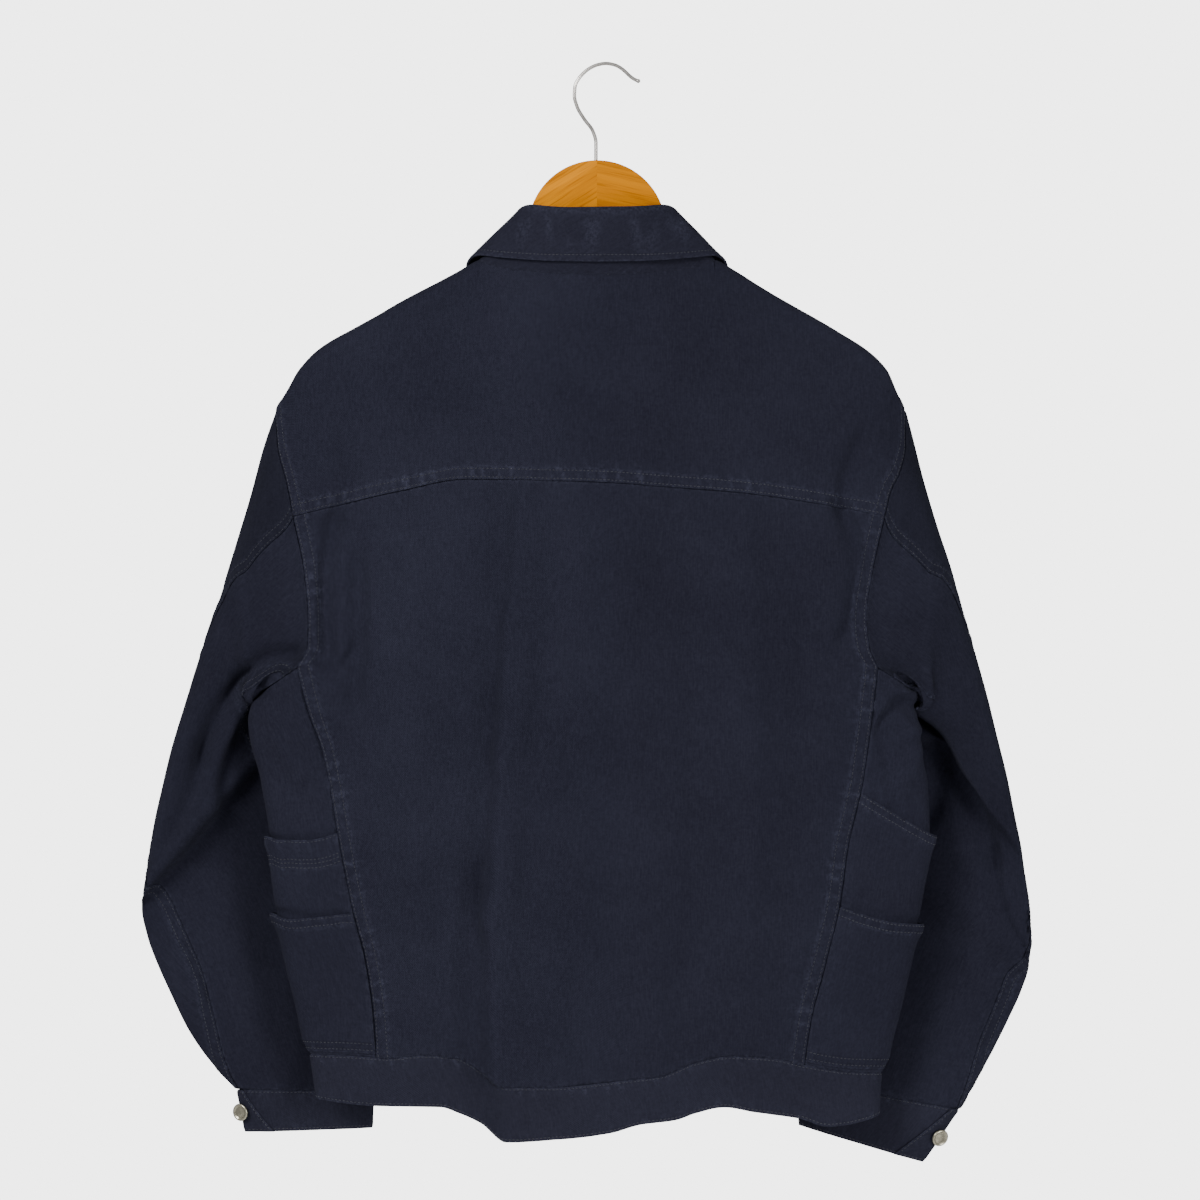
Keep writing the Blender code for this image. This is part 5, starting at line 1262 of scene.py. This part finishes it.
def twill_weave():
    """Diagonal ribs crossed by fine yarns: two sine waves on the cloth's own plan, broken by noise."""
    nodes, given, result = group("twill_weave", {"Plan": None, "Rib": 0.0011, "Uneven": 0.5},
                                 ("Height", "Shade"))
    split = nodes.add("SeparateXYZ", {0: given["Plan"]}).outputs
    diagonal = nodes.calc("MULTIPLY_ADD", split[1], 0.55, split[0])
    turns = nodes.calc("DIVIDE", diagonal, given["Rib"])
    broken = nodes.noise(given["Plan"], 900.0)
    shift = nodes.calc("MULTIPLY", broken, given["Uneven"])
    ribs = nodes.sine(nodes.calc("ADD", turns, shift))
    yarns = nodes.sine(nodes.calc("DIVIDE", split[1], nodes.calc("MULTIPLY", given["Rib"], 0.5)))
    height = nodes.calc("MULTIPLY_ADD", yarns, 0.25, ribs)
    nodes.link(result, {"Height": height, "Shade": nodes.calc("MULTIPLY_ADD", height, 0.4, 0.5)})
    return nodes.tree


def worn_dye():
    """Indigo cloth that has been washed: cloudy patches, slubs along the warp, and faded crests."""
    nodes, given, result = group("worn_dye", {
        "Plan": None, "Wear": 0.0, "Shade": 0.5, "Dye": (0.02, 0.02, 0.03, 1.0),
        "Faded": (0.1, 0.1, 0.1, 1.0), "Amount": 0.5}, ("Color", "Roughness"))
    cloud = nodes.noise(nodes.place, 9.0, 4.0, Roughness=0.6)
    slub = nodes.noise(nodes.stretched(given["Plan"], (900.0, 90.0, 1.0)), 1.0, 3.0)
    grit = nodes.noise(nodes.place, 420.0, 3.0, Roughness=0.7)
    worn = nodes.calc("MULTIPLY", given["Wear"], nodes.span(grit, 0.36, 0.62), clamp=True)
    ribbed = nodes.calc("MULTIPLY", given["Shade"], 0.05)
    total = nodes.calc("MULTIPLY_ADD", worn, given["Amount"], ribbed)
    total = nodes.calc("ADD", total, nodes.span(cloud, 0.35, 0.75, 0.10))
    total = nodes.calc("ADD", total, nodes.calc("MULTIPLY_ADD", grit, 0.30, -0.10))
    total = nodes.calc("ADD", total, nodes.span(slub, 0.4, 0.8, 0.10), clamp=True)
    nodes.link(result, {"Color": nodes.mixed(total, given["Dye"], given["Faded"]),
                        "Roughness": nodes.calc("MULTIPLY_ADD", total, -0.25, 0.9)})
    return nodes.tree


def rubbed_metal():
    """Plated metal in use: fine rubbing and a dull film, from two noises on the object's place."""
    nodes, given, result = group("rubbed_metal", {
        "Bright": (0.5, 0.5, 0.5, 1.0), "Dull": (0.2, 0.2, 0.2, 1.0), "Scale": 300.0},
        ("Color", "Roughness", "Height"))
    film = nodes.noise(nodes.place, given["Scale"], 4.0)
    fine = nodes.noise(nodes.place, nodes.calc("MULTIPLY", given["Scale"], 9.0))
    share = nodes.span(film, 0.35, 0.7)
    nodes.link(result, {"Color": nodes.mixed(share, given["Bright"], given["Dull"]),
                        "Roughness": nodes.calc("MULTIPLY_ADD", share, 0.22, 0.26),
                        "Height": fine})
    return nodes.tree


def new_material(name, **constants):
    """A material with constants for its shader, and its nodes."""
    material = bpy.data.materials.new(name)
    material.use_nodes = True
    nodes = Nodes(material.node_tree)
    nodes.shade(**constants)
    return material, nodes


def cloth_material(name, dye, amount=0.5):
    """Twill: the weave raises it, and wear and washing lighten it."""
    material, nodes = new_material(name, Sheen_Weight=0.03, Sheen_Roughness=0.5,
                                   Sheen_Tint=(0.45, 0.48, 0.55, 1.0), Specular_IOR_Level=0.0)
    plan = nodes.add("UVMap", uv_map="cloth_plan").outputs[0]
    wear = nodes.add("Attribute", attribute_name="wear").outputs["Fac"]
    weave = nodes.add("Group", {"Plan": plan}, node_tree=WEAVE).outputs
    dyed = nodes.add("Group", {"Plan": plan, "Wear": wear, "Amount": amount, "Dye": opaque(dye),
                               "Shade": weave["Shade"], "Faded": opaque(FADED)}, node_tree=DYE)
    fuzz = nodes.noise(nodes.place, 160.0, 3.0)
    height = nodes.calc("MULTIPLY_ADD", fuzz, 1.6, weave["Height"])
    nodes.shade(Base_Color=dyed.outputs["Color"], Roughness=dyed.outputs["Roughness"],
                Normal=nodes.bump(height, 0.8, 0.00018))
    return material


def thread_material():
    """Twisted cotton: lay lines across each stitch, from a fine wave on the object's place."""
    material, nodes = new_material("thread", Roughness=0.8, Sheen_Weight=0.2, Specular_IOR_Level=0.3)
    colour = nodes.mixed(nodes.noise(nodes.place, 240.0), opaque(THREAD, 0.55), opaque(THREAD))
    lay = nodes.add("TexWave", {"Vector": nodes.place, "Scale": 900.0, "Distortion": 1.0},
                    bands_direction="DIAGONAL").outputs["Fac"]
    nodes.shade(Base_Color=colour, Normal=nodes.bump(lay, 0.4, 0.00008))
    return material


def metal_material(name, bright, dull_share, scale):
    """Rubbed metal for the buttons and the hook."""
    material, nodes = new_material(name, Metallic=1.0)
    rubbed = nodes.add("Group", {"Bright": opaque(bright), "Dull": opaque(bright, dull_share),
                                 "Scale": scale}, node_tree=METAL).outputs
    nodes.shade(Base_Color=rubbed["Color"], Roughness=rubbed["Roughness"],
                Normal=nodes.bump(rubbed["Height"], 0.15, 0.0001))
    return material


def wood_material(name, lean, light, dark):
    """Varnished wood: bands stretched along the grain, drawn out of line by noise, with pores."""
    material, nodes = new_material(name, Specular_IOR_Level=0.02)
    turned = nodes.stretched(nodes.place, (1.0, 1.0, 1.0), math.radians(lean))
    bands = nodes.noise(nodes.stretched(turned, (9.0, 60.0, 120.0)), 1.0, 5.0, Distortion=0.6)
    pores = nodes.noise(nodes.stretched(turned, (30.0, 400.0, 900.0)), 1.0, 3.0)
    share = nodes.calc("MULTIPLY_ADD", nodes.span(bands, 0.32, 0.68), 0.6,
                       nodes.span(pores, 0.52, 0.72, 0.5), clamp=True)
    nodes.shade(Base_Color=nodes.mixed(share, opaque(light), opaque(dark)),
                Roughness=nodes.calc("MULTIPLY_ADD", share, 0.15, 0.3),
                Normal=nodes.bump(share, 0.2, 0.0002))
    return material


WEAVE, DYE, METAL = twill_weave(), worn_dye(), rubbed_metal()
TWILL = cloth_material("navy_twill", NAVY), "twill"
POCKET_TWILL = cloth_material("pocket_twill", NAVY_POCKET, 0.55), "twill_pocket"
BAND_TWILL = cloth_material("band_twill", NAVY_BAND, 0.55), "twill_band"
COLLAR_TWILL = cloth_material("collar_twill", NAVY_COLLAR, 0.6), "twill_collar"
THREADS = thread_material()
BUTTON_METAL = metal_material("button_metal", BRASS, 0.55, 300.0)
HOOK_METAL = metal_material("hook_metal", STEEL, 0.8, 200.0)
WOOD = {-1: wood_material("wood_left_half", 32.0, *LEFT_GRAIN),
        1: wood_material("wood_right_half", -12.0, *RIGHT_GRAIN)}


# ------------------------------------------------------------------------------------ body pieces
def on_chart(chart, a, b, step, outward):
    """The points of a chart and its normals there."""
    return chart(a, b), normals_of(chart, a, b, step, outward)


def dressed(name, chart, grid, outward, edges, folds, seed):
    """A panel of the torso with its creases: two sizes of soft unevenness lie over them."""
    a, b = map(refined, grid)
    points, normals = on_chart(chart, a, b, BODY_STEP, outward)
    height = cloth_piece(name, points, normals, edges, seed, TWILL, creases(points, folds),
                         waves=((0.35, 75.0, seed), (0.10, 24.0, seed + 50)),
                         plan=(a, -b) if chart is back_chart else None)
    return points, normals, height


def build_body():
    """Yoke, back, side panels and fronts; returns the side panels' surfaces for the pockets."""
    yoke = yoke_grid()
    dressed("back_yoke", back_chart, yoke, (0, -1, 0.2),
            dict(bottom=YOKE_FELLED, left=FELLED, right=FELLED, top=PLAIN), BACK_CREASES, 11)
    dressed("back_panel", back_chart, back_grid(yoke[0].shape[1]), (0, -1, 0),
            dict(left=SIDE_FELLED, right=SIDE_FELLED, top=PLAIN, bottom=PLAIN), BACK_CREASES, 12)
    sides = {}
    for side, word in SIDES.items():
        sides[word] = dressed("side_panel_" + word, ring_chart, side_grid(side), (side, 0, 0),
                              dict.fromkeys(("left", "right", "top", "bottom"), PLAIN),
                              SIDE_CREASES, 13 + side)
        dressed("front_" + word, front_chart if side < 0 else right_front_chart, front_grid(side),
                (0, 1, 0), dict(left=FELLED, right=SIDE_FELLED, bottom=PLAIN), FRONT_CREASES,
                17 + side)
    return sides


def build_pockets(sides):
    """Each patch lies on its side panel's own points, moved out; its mouth sags open a little."""
    lift = {"upper": PATCH_GAP, "lower": PATCH_GAP + PATCH_WALL + PATCH_GAP}
    for (word, level), opening in POCKET_OPENINGS.items():
        points, normals, height = sides[word]
        above = smooth_line(opening)(points[..., 0]) - points[..., 2]
        numbers_down = np.arange(len(points))
        mouth = np.array([np.interp(0.0, column, numbers_down) for column in above.T])
        last = len(points) - POCKET_FOOT_ROWS
        rows = mouth + (last - mouth) * np.linspace(0.0, 1.0, POCKET_ROWS)[:, None]
        surface, normal = rows_at(points, rows), unit(rows_at(normals, rows))
        hem = POCKET_HEM if (word, level) == ("left", "upper") else POCKET_EDGE
        edges = dict(top=hem, bottom=POCKET_FOOT, left=POCKET_SIDE, right=POCKET_SIDE)
        forward = "left" if word == "right" else "right"
        edges[forward] = PLAIN
        ways = edge_ways(surface)
        from_mouth, from_left, from_right = (ways[edge][0] for edge in ("top", "left", "right"))
        across = from_left / (from_left + from_right)
        gape = MOUTH_GAPE * bell(from_mouth, MOUTH_REACH) * np.sin(math.pi * across) ** 2
        pressed = PATCH_EDGE_LIFT + (1.0 - PATCH_EDGE_LIFT) * smooth_step(np.minimum(
            ways[forward][0] / PATCH_EASE[0], ways["bottom"][0] / PATCH_EASE[1]))
        beneath = rows_at(height[..., None], rows)[..., 0]
        cloth_piece("side_pocket_" + word + ("_lower" if level == "lower" else ""), surface, normal,
                    edges, 31 + len(threads), POCKET_TWILL,
                    beneath + (gape + lift[level] + PATCH_WALL) * pressed,
                    draw=PATCH_DRAW, thickness=PATCH_CLOTH)


def build_waistband(columns):
    """One band round the ring; its left end lies over its right end at the front."""
    (left_x, back_left, left), (right_x, back_right, right) = (
        (seam_down(side, -1)[-1, 0], *(float(turn_of(*seam_down(side, face)[-1], face))
                                       for face in (-1, 1))) for side in SIDES)
    low_x = np.linspace(left_x, right_x, columns)
    across_back = turn_of(low_x, waist_seam_back(low_x), -1)
    lap = 180.0 - abs(float(turn_of(CENTRE_X - FRONT_LAP, WAIST_Z, +1)))
    turn = np.concatenate([
        stepped((-180.0 - lap, left, back_left), (BAND_FRONT_COLUMNS, SIDE_COLUMNS)),
        across_back[1:],
        stepped((back_right, right, 180.0 + lap), (SIDE_COLUMNS, BAND_FRONT_COLUMNS))[1:]])
    seam, hem = waist_z(turn), around_front(turn, hem_back, HEM_Z)
    share = np.linspace(0.0, 1.0, BAND_ROWS)[:, None]
    turns, z = refined(turn + 0 * share, 3), refined(seam + (hem - seam) * share, 3)
    points, normals = on_chart(ring_chart, turns, z, BODY_STEP, (0, -1, 0))
    step = smooth_step((2.2 * lap - 180.0 + turns) / lap) * (BAND_WALL + PATCH_GAP)
    points = points - normals * step[..., None]
    edges = dict(top=WAISTBAND, bottom=HEM_EDGE, left=TURNED, right=TURNED)
    cloth_piece("waistband", points, normals, edges, 41, BAND_TWILL, creases(points, WAIST_CREASES),
                waves=((0.4, 46.0, 42),), thickness=BAND_CLOTH)


def build_collar():
    """The stand from the neck seam up to the roll line, and the fall folded down over it.  Its roll
    is rubbed pale, and streaks of wear run down below it."""
    angle = stepped((-NECK_END, -90.0, 90.0, NECK_END), COLLAR_COLUMNS)
    a, b = (refined(grid, 3) for grid in np.meshgrid(angle, np.linspace(0.0, 1.0, STAND_ROWS)))
    points, normals = on_chart(stand_chart, a, b, STAND_STEP, (0, -1, 0))
    cloth_piece("collar_stand", points, normals, dict(top=STAND_EDGE), 51, COLLAR_TWILL, draw=GAP,
                thickness=STAND_CLOTH)
    share = stepped((0.0, FOLD_SHARE, 1.0), FALL_ROWS)
    a, b = (refined(grid, 3) for grid in np.meshgrid(angle, share))
    points, normals = on_chart(fall_chart, a, b, FALL_STEP, (0, -1, 0))
    away = edge_ways(points)["top"][0]
    streaks = np.clip(soft_waves(points * (1.0, 1.0, 0.25), 15.0, 56), 0.0, 1.0)
    wear = np.maximum(0.55 * bell(away - 6.0, 4.0), 0.45 * streaks * bell(away - 24.0, 16.0))
    cloth_piece("collar_leaf", points, normals,
                dict(bottom=COLLAR_EDGE, left=COLLAR_EDGE, right=COLLAR_EDGE), 52, COLLAR_TWILL,
                COLLAR_WALL, wear, ((0.35, 40.0, 53),), draw=FALL_DRAW, thickness=FALL_CLOTH)


# ---------------------------------------------------------------------------------- sleeves, cuffs
def sleeve_folds(points, normals):
    """The creases seen from behind, and softer ones like them on the side that faces the wall."""
    behind = smooth_step((0.35 - normals[..., 1]) / 0.5)
    below = smooth_step((0.1 - normals[..., 2]) / 0.6)
    sag = sum(drop * bell(np.hypot(points[..., 0] - x, points[..., 2] - z), reach)
              for x, z, reach, drop in ARMPIT_SAGS)
    return (creases(points, SLEEVE_CREASES) * behind + sag * below
            + FRONT_SHARE * creases(points + FRONT_SHIFT, SLEEVE_CREASES) * (1.0 - behind))


def sleeve_cuts(side):
    """The two pieces between the back seam and the inner one: name | the armhole's turns and the
    body's normals along its top | its seams' turns at every station | finish of the second seam."""
    _, normals, corner, armpit, turns = armhole_points(side)
    foot = armpit - INNER_SEAM_STEP
    seams = [(0.0, turns[corner], turns[foot])] + SLEEVE_SEAMS[side]
    back, inner = (smooth_line(seams, column)(SLEEVE_STATIONS)[:, None] for column in (1, 2))
    under = slice(corner, foot + 1)
    return [("under", turns[under], normals[under], back, inner, FELLED if side < 0 else PLAIN),
            ("over", np.concatenate([turns[foot:-1], 1.0 + turns[:corner + 1]]),
             np.concatenate([normals[foot:-1], normals[:corner + 1]]), inner, 1.0 + back, FELLED)]


def build_sleeve(side):
    """Two pieces: the under sleeve shows behind, the over sleeve wraps the outside and the front."""
    chart = sleeve_chart(side)
    rows = SLEEVE_STATIONS[:, None]
    for kind, first_turns, armhole_normals, start, end, right in sleeve_cuts(side):
        turn = refined(sleeve_piece_turns(start, end, first_turns, rows))
        stations = refined(np.repeat(rows, len(first_turns), axis=1))
        middle = len(stations) // 2
        ring = np.full(24, stations[middle, 0])
        surface = chart(turn, stations)
        outward = (surface[middle, turn.shape[1] // 2]
                   - chart(np.linspace(0.0, 1.0, 24), ring).mean(axis=0))
        normals = normals_of(chart, turn, stations, SLEEVE_STEP, outward)
        leaning = interpolated(np.linspace(0.0, 1.0, normals.shape[1]),
                               np.linspace(0.0, 1.0, len(armhole_normals)), armhole_normals)
        normals[0] = start_normals(leaning, normals[0])
        from_armhole = edge_ways(surface)["top"][0]
        cloth_piece("sleeve_" + SIDES[side] + "_" + kind, surface, normals,
                    dict(left=PLAIN, right=right, top=PLAIN, bottom=PLAIN),
                    60 + 4 * side + len(kind), TWILL,
                    sleeve_folds(surface, normals) * smooth_step(from_armhole / ARMHOLE_CALM),
                    waves=((0.4, 60.0, 70 + side),), fade=smooth_step(from_armhole / 6.0 + 0.35),
                    draw=1.2 * SEAM_DRAW, first_draw=ARMHOLE_DRAW)


def build_cuff(side):
    """A band on the sleeve's last ring; its outer end laps over the other one beside the slit."""
    top, low = np.array(SLEEVE_RINGS[side][-1]), np.array(CUFF_ENDS[side][0])
    start = SLEEVE_SEAMS[side][-1][1] - CUFF_LAP / 2
    end = start + 1.0 + CUFF_LAP

    def chart(a, b):
        return oval(top + (low - top) * b[..., None], a)
    a, b = (refined(grid, 3) for grid in np.meshgrid(np.linspace(start, end, CUFF_COLUMNS + 1),
                                                     np.linspace(0.0, 1.0, CUFF_ROWS)))
    a = a + CUFF_SLANT * b * smooth_step((a - end) / 0.3 + 1.0)
    points = chart(a, b)
    middle = len(points) // 2
    centre = points[middle].mean(axis=0)
    outward = points[middle, points.shape[1] // 2] - centre
    normals = normals_of(chart, a, b, CUFF_STEP, outward)
    lap = smooth_step((a - start) / CUFF_LAP - 0.3) - 1.0
    free = CUFF_FREE * smooth_step((a - end - CUFF_SLANT * b) / CUFF_FREE_TURN + 1.0)
    points = points + normals * (lap * (BAND_WALL + 0.5) + free)[..., None]
    rubbed = 0.9 * bell(edge_ways(points)["right"][0], 1.8)
    cloth_piece("cuff_" + SIDES[side], points, normals,
                dict(top=WAISTBAND, bottom=HEM_EDGE, left=TURNED, right=TURNED), 80 + side,
                BAND_TWILL, wear=rubbed, waves=((0.25, 34.0, 84 + side),), draw=2.0 * SEAM_DRAW,
                thickness=CUFF_CLOTH)
    a, b = np.array([[end - CUFF_BUTTON_IN * CUFF_LAP]]), np.array([[CUFF_BUTTON_DOWN]])
    add_button("cuff_button_" + SIDES[side], chart, a, b, CUFF_STEP, chart(a, b)[0, 0] - centre)


# ------------------------------------------------------------------------------ buttons and hanger
def finish_hard(name, mesh, material, slot, replaced, angle=40.0):
    """Normals outwards, smooth but for sharp edges, riding on the jacket in place of its solid."""
    turn_outwards(mesh, 0.00001)
    piece = add_piece(name, mesh, material, slot)
    mesh.set_sharp_from_angle(angle=math.radians(angle))
    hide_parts(replaced)


def tube(name, rings, ends):
    """A mesh of quads between rings of points, closed by triangles on to a point at either end."""
    rows, sides = rings.shape[:2]
    index = np.arange(rows * sides).reshape(rows, sides)
    after = np.roll(index, -1, axis=1)
    quads = packed(index[:-1], after[:-1], after[1:], index[1:]).reshape(-1, 4)
    first, last = np.full(sides, rows * sides), np.full(sides, rows * sides + 1)
    caps = np.concatenate([packed(first, after[0], index[0]), packed(last, index[-1], after[-1])])
    return new_mesh(name, np.concatenate([rings.reshape(-1, 3), ends]), quads.tolist() + caps.tolist())


def round_turn(sides):
    """The cosine and the sine of even steps round a circle."""
    turn = np.linspace(0.0, 2.0 * math.pi, sides, endpoint=False)
    return np.cos(turn)[:, None], np.sin(turn)[:, None]


def add_button(name, chart, a, b, step, outward):
    """A turned metal button on a chart's place: its half section carried round the cloth's normal."""
    normal = normals_of(chart, a, b, step, outward)[0, 0]
    base = chart(a, b)[0, 0] + normal * BUTTON_STAND
    side = unit(np.cross(normal, (0.0, 0.0, 1.0)))
    across, up = round_turn(BUTTON_SIDES)
    around = across * side + up * np.cross(side, normal)
    radius, height = np.array(BUTTON_PROFILE).T[..., None]
    rings = base + radius[1:-1, None] * around + height[1:-1, None] * normal
    mesh = tube(name + "_turned", rings, base + height[[0, -1]] * normal)
    finish_hard(name + "_turned", mesh, BUTTON_METAL, "button_metal", name)


def build_front_buttons():
    """Buttons down the middle of the left front, the last one on the waistband."""
    middle = np.array([[CENTRE_X]])
    for number, z in enumerate(FRONT_BUTTONS_Z, start=1):
        add_button("front_button_%d" % number, front_chart, middle, front_q(middle, z), BODY_STEP,
                   (0, 1, 0))
    add_button("front_button_%d" % (len(FRONT_BUTTONS_Z) + 1), ring_chart,
               np.array([[BAND_BUTTON_TURN]]), np.array([[BAND_BUTTON_Z]]), BODY_STEP, (0, 1, 0))


def rounded_end(corner, side):
    """The arm's end: half a round below its upper corner, leaning with the arm."""
    lean = math.radians(ARM_END_LEAN) * side
    angle = np.radians(np.linspace(*ARM_END_ANGLES))
    across, up = np.cos(angle) * ARM_END_R * side, (np.sin(angle) - 1.0) * ARM_END_R
    return packed(corner[0] + across * math.cos(lean) + up * math.sin(lean),
                  corner[1] - across * math.sin(lean) + up * math.cos(lean))


def wood_half(side):
    """Outline of one half of the hanger, seen from behind: hump, arm, rounded end, underside."""
    angles = np.radians(np.linspace(*HUMP_ANGLES))
    hump = packed(HUMP_X + side * HUMP_R * np.cos(angles), HUMP_Z + HUMP_R * np.sin(angles))
    arm_x = np.linspace(HUMP_X + side * ARM_START, ARM_ENDS_X[side], 24)
    dip = WOOD_NECK_DIP * smooth_step((NECK_REACH[0] - np.abs(arm_x - HUMP_X)) / NECK_REACH[1])
    arm = packed(arm_x, ridge(arm_x) - WOOD_UNDER_RIDGE - dip)
    under_x = np.linspace(HANGER_UNDERSIDE[-1 if side > 0 else 0][0], HUMP_X, 14)
    under = packed(under_x, smooth_line(HANGER_UNDERSIDE)(under_x))
    outline = np.concatenate([hump, arm, rounded_end(arm[-1], side), under])
    outline[np.abs(outline[:, 0] - HUMP_X) < 0.01, 0] += side * WOOD_JOINT
    return outline


def build_hanger():
    """Two halves of flat wood with rounded edges, glued at the middle."""
    for side, word in SIDES.items():
        curve = bpy.data.curves.new("hanger_" + word, "CURVE")
        curve.dimensions = "2D"
        curve.fill_mode = "BOTH"
        curve.extrude = (WOOD_T / 2 - WOOD_BEVEL) * MM
        curve.bevel_depth = WOOD_BEVEL * MM
        curve.bevel_resolution = 3
        curve.offset = -WOOD_BEVEL * MM
        outline = wood_half(side) * MM
        spline = curve.splines.new("POLY")
        spline.points.add(len(outline) - 1)
        spline.points.foreach_set("co", np.insert(outline, 2, [[0.0], [1.0]], axis=1).ravel())
        spline.use_cyclic_u = True
        flat = bpy.data.objects.new("hanger_outline_" + word, curve)
        bpy.context.scene.collection.objects.link(flat)
        flat.rotation_euler = (math.pi / 2, 0.0, 0.0)
        bpy.context.view_layer.update()
        evaluated = flat.evaluated_get(bpy.context.evaluated_depsgraph_get())
        mesh = bpy.data.meshes.new_from_object(evaluated)
        mesh.transform(flat.matrix_world)
        bpy.data.objects.remove(flat)
        finish_hard("hanger_half_" + word, mesh, WOOD[side], "varnished_wood", "hanger_wood", 50.0)


def build_hook():
    """The wire: rings square to its route, slimmer at the neck of a small ball at its tip."""
    rows = [(float(number), *row) for number, row in enumerate(HOOK_ROUTE)]
    at = np.linspace(0.0, len(rows) - 1.0, HOOK_POINTS)
    dense = packed(smooth_line(rows, 1)(at), 0 * at, smooth_line(rows, 2)(at))
    run = way_along(dense)
    places = interpolated(np.linspace(0.0, run[-1], HOOK_RINGS), run, dense)
    flat = np.array([0.0, 1.0, 0.0])
    normal = np.cross(unit(np.gradient(places, axis=0)), flat)
    to_tip = way_along(places[::-1])[::-1]
    ball = np.sqrt(np.clip(HOOK_BALL_R ** 2 - (to_tip - HOOK_BALL_R) ** 2, 0.0, None))
    wire = HOOK_WIRE_R * np.sqrt(1.0 - np.clip(1.0 - to_tip, 0.0, 1.0) ** 2)
    across, up = round_turn(WIRE_SIDES)
    around = across * normal[:, None] + up * flat
    rings = places[:, None] + around * (np.maximum(ball, wire)[:, None, None] + 0.01)
    finish_hard("hook_wire", tube("hook_wire", rings, places[[0, -1]]), HOOK_METAL, "hook_wire",
                "hook", 60.0)


# ---------------------------------------------------------------------- camera, light, backdrop
CAMERA_WAY = 5.5            # metres from the jacket, level with the middle of the picture
PICTURE_WIDTH = 0.948       # metres of the jacket's plane across the picture
PICTURE_X = -0.0047
PICTURE_Z = -0.4187
FLOOR_Z = -1.75
ROOM_LIGHT = 0.42           # light of the pale room on the jacket
WALL_LIGHT = 4.2            # and as it is seen behind it
FLOOR_GREY = 0.8
WHITE = (1.0, 1.0, 1.0)
# Large soft lights that look at the middle of the jacket:  place | width, height | watts
SOFTBOXES = {"soft_front": ((-1.9, -2.4, 1.0), (1.4, 1.2), 106.0),
             "soft_side": ((2.0, -2.2, -0.7), (1.0, 1.4), 50.0),
             "soft_behind": ((0.3, 2.4, 1.4), (1.8, 1.8), 40.0)}


def placed(name, data, place, turn):
    """A camera or a light in the scene."""
    made = bpy.data.objects.new(name, data)
    made.location = place
    made.rotation_euler = turn
    bpy.context.scene.collection.objects.link(made)
    return made


def add_camera():
    """A long lens that looks level at the jacket's back."""
    data = bpy.data.cameras.new("camera")
    data.sensor_width = 36.0
    data.lens = data.sensor_width * CAMERA_WAY / PICTURE_WIDTH
    bpy.context.scene.camera = placed("camera", data, (PICTURE_X, -CAMERA_WAY, PICTURE_Z),
                                      (math.pi / 2, 0.0, 0.0))


def add_surroundings():
    """A pale room that lights from everywhere, a pale floor, and three soft boxes."""
    world = bpy.data.worlds.new("pale_room")
    world.use_nodes = True
    nodes = Nodes(world.node_tree)
    given = world.node_tree.nodes["Background"]
    nodes.link(given, {"Color": opaque(WHITE), "Strength": ROOM_LIGHT})
    seen = nodes.add("Background", {"Color": opaque(WHITE), "Strength": WALL_LIGHT})
    direct = nodes.add("LightPath").outputs["Is Camera Ray"]
    mixed = nodes.add("MixShader", {0: direct, 1: given.outputs[0], 2: seen.outputs[0]})
    nodes.link(world.node_tree.nodes["World Output"], {"Surface": mixed.outputs[0]})
    bpy.context.scene.world = world
    bpy.ops.mesh.primitive_circle_add(vertices=96, radius=1.9, fill_type="NGON",
                                      location=(0.0, 0.0, FLOOR_Z))
    floor = bpy.context.object
    floor.name = "floor"
    pale = new_material("pale_floor", Roughness=0.8, Base_Color=opaque(WHITE, FLOOR_GREY))[0]
    floor.data.materials.append(pale)
    for name, (place, size, watts) in SOFTBOXES.items():
        data = bpy.data.lights.new(name, "AREA")
        data.shape = "RECTANGLE"
        data.size, data.size_y = size
        data.energy = watts
        aim = Vector((PICTURE_X, 0.0, PICTURE_Z)) - Vector(place)
        placed(name, data, place, aim.to_track_quat("-Z", "Y").to_euler())


def main():
    """The whole scene."""
    add_camera()
    add_surroundings()
    build_pockets(build_body())
    build_waistband(len(yoke_top()))
    build_collar()
    for side in SIDES:
        build_sleeve(side)
        build_cuff(side)
    build_threads()
    build_front_buttons()
    build_hanger()
    build_hook()
    bpy.context.view_layer.update()


main()
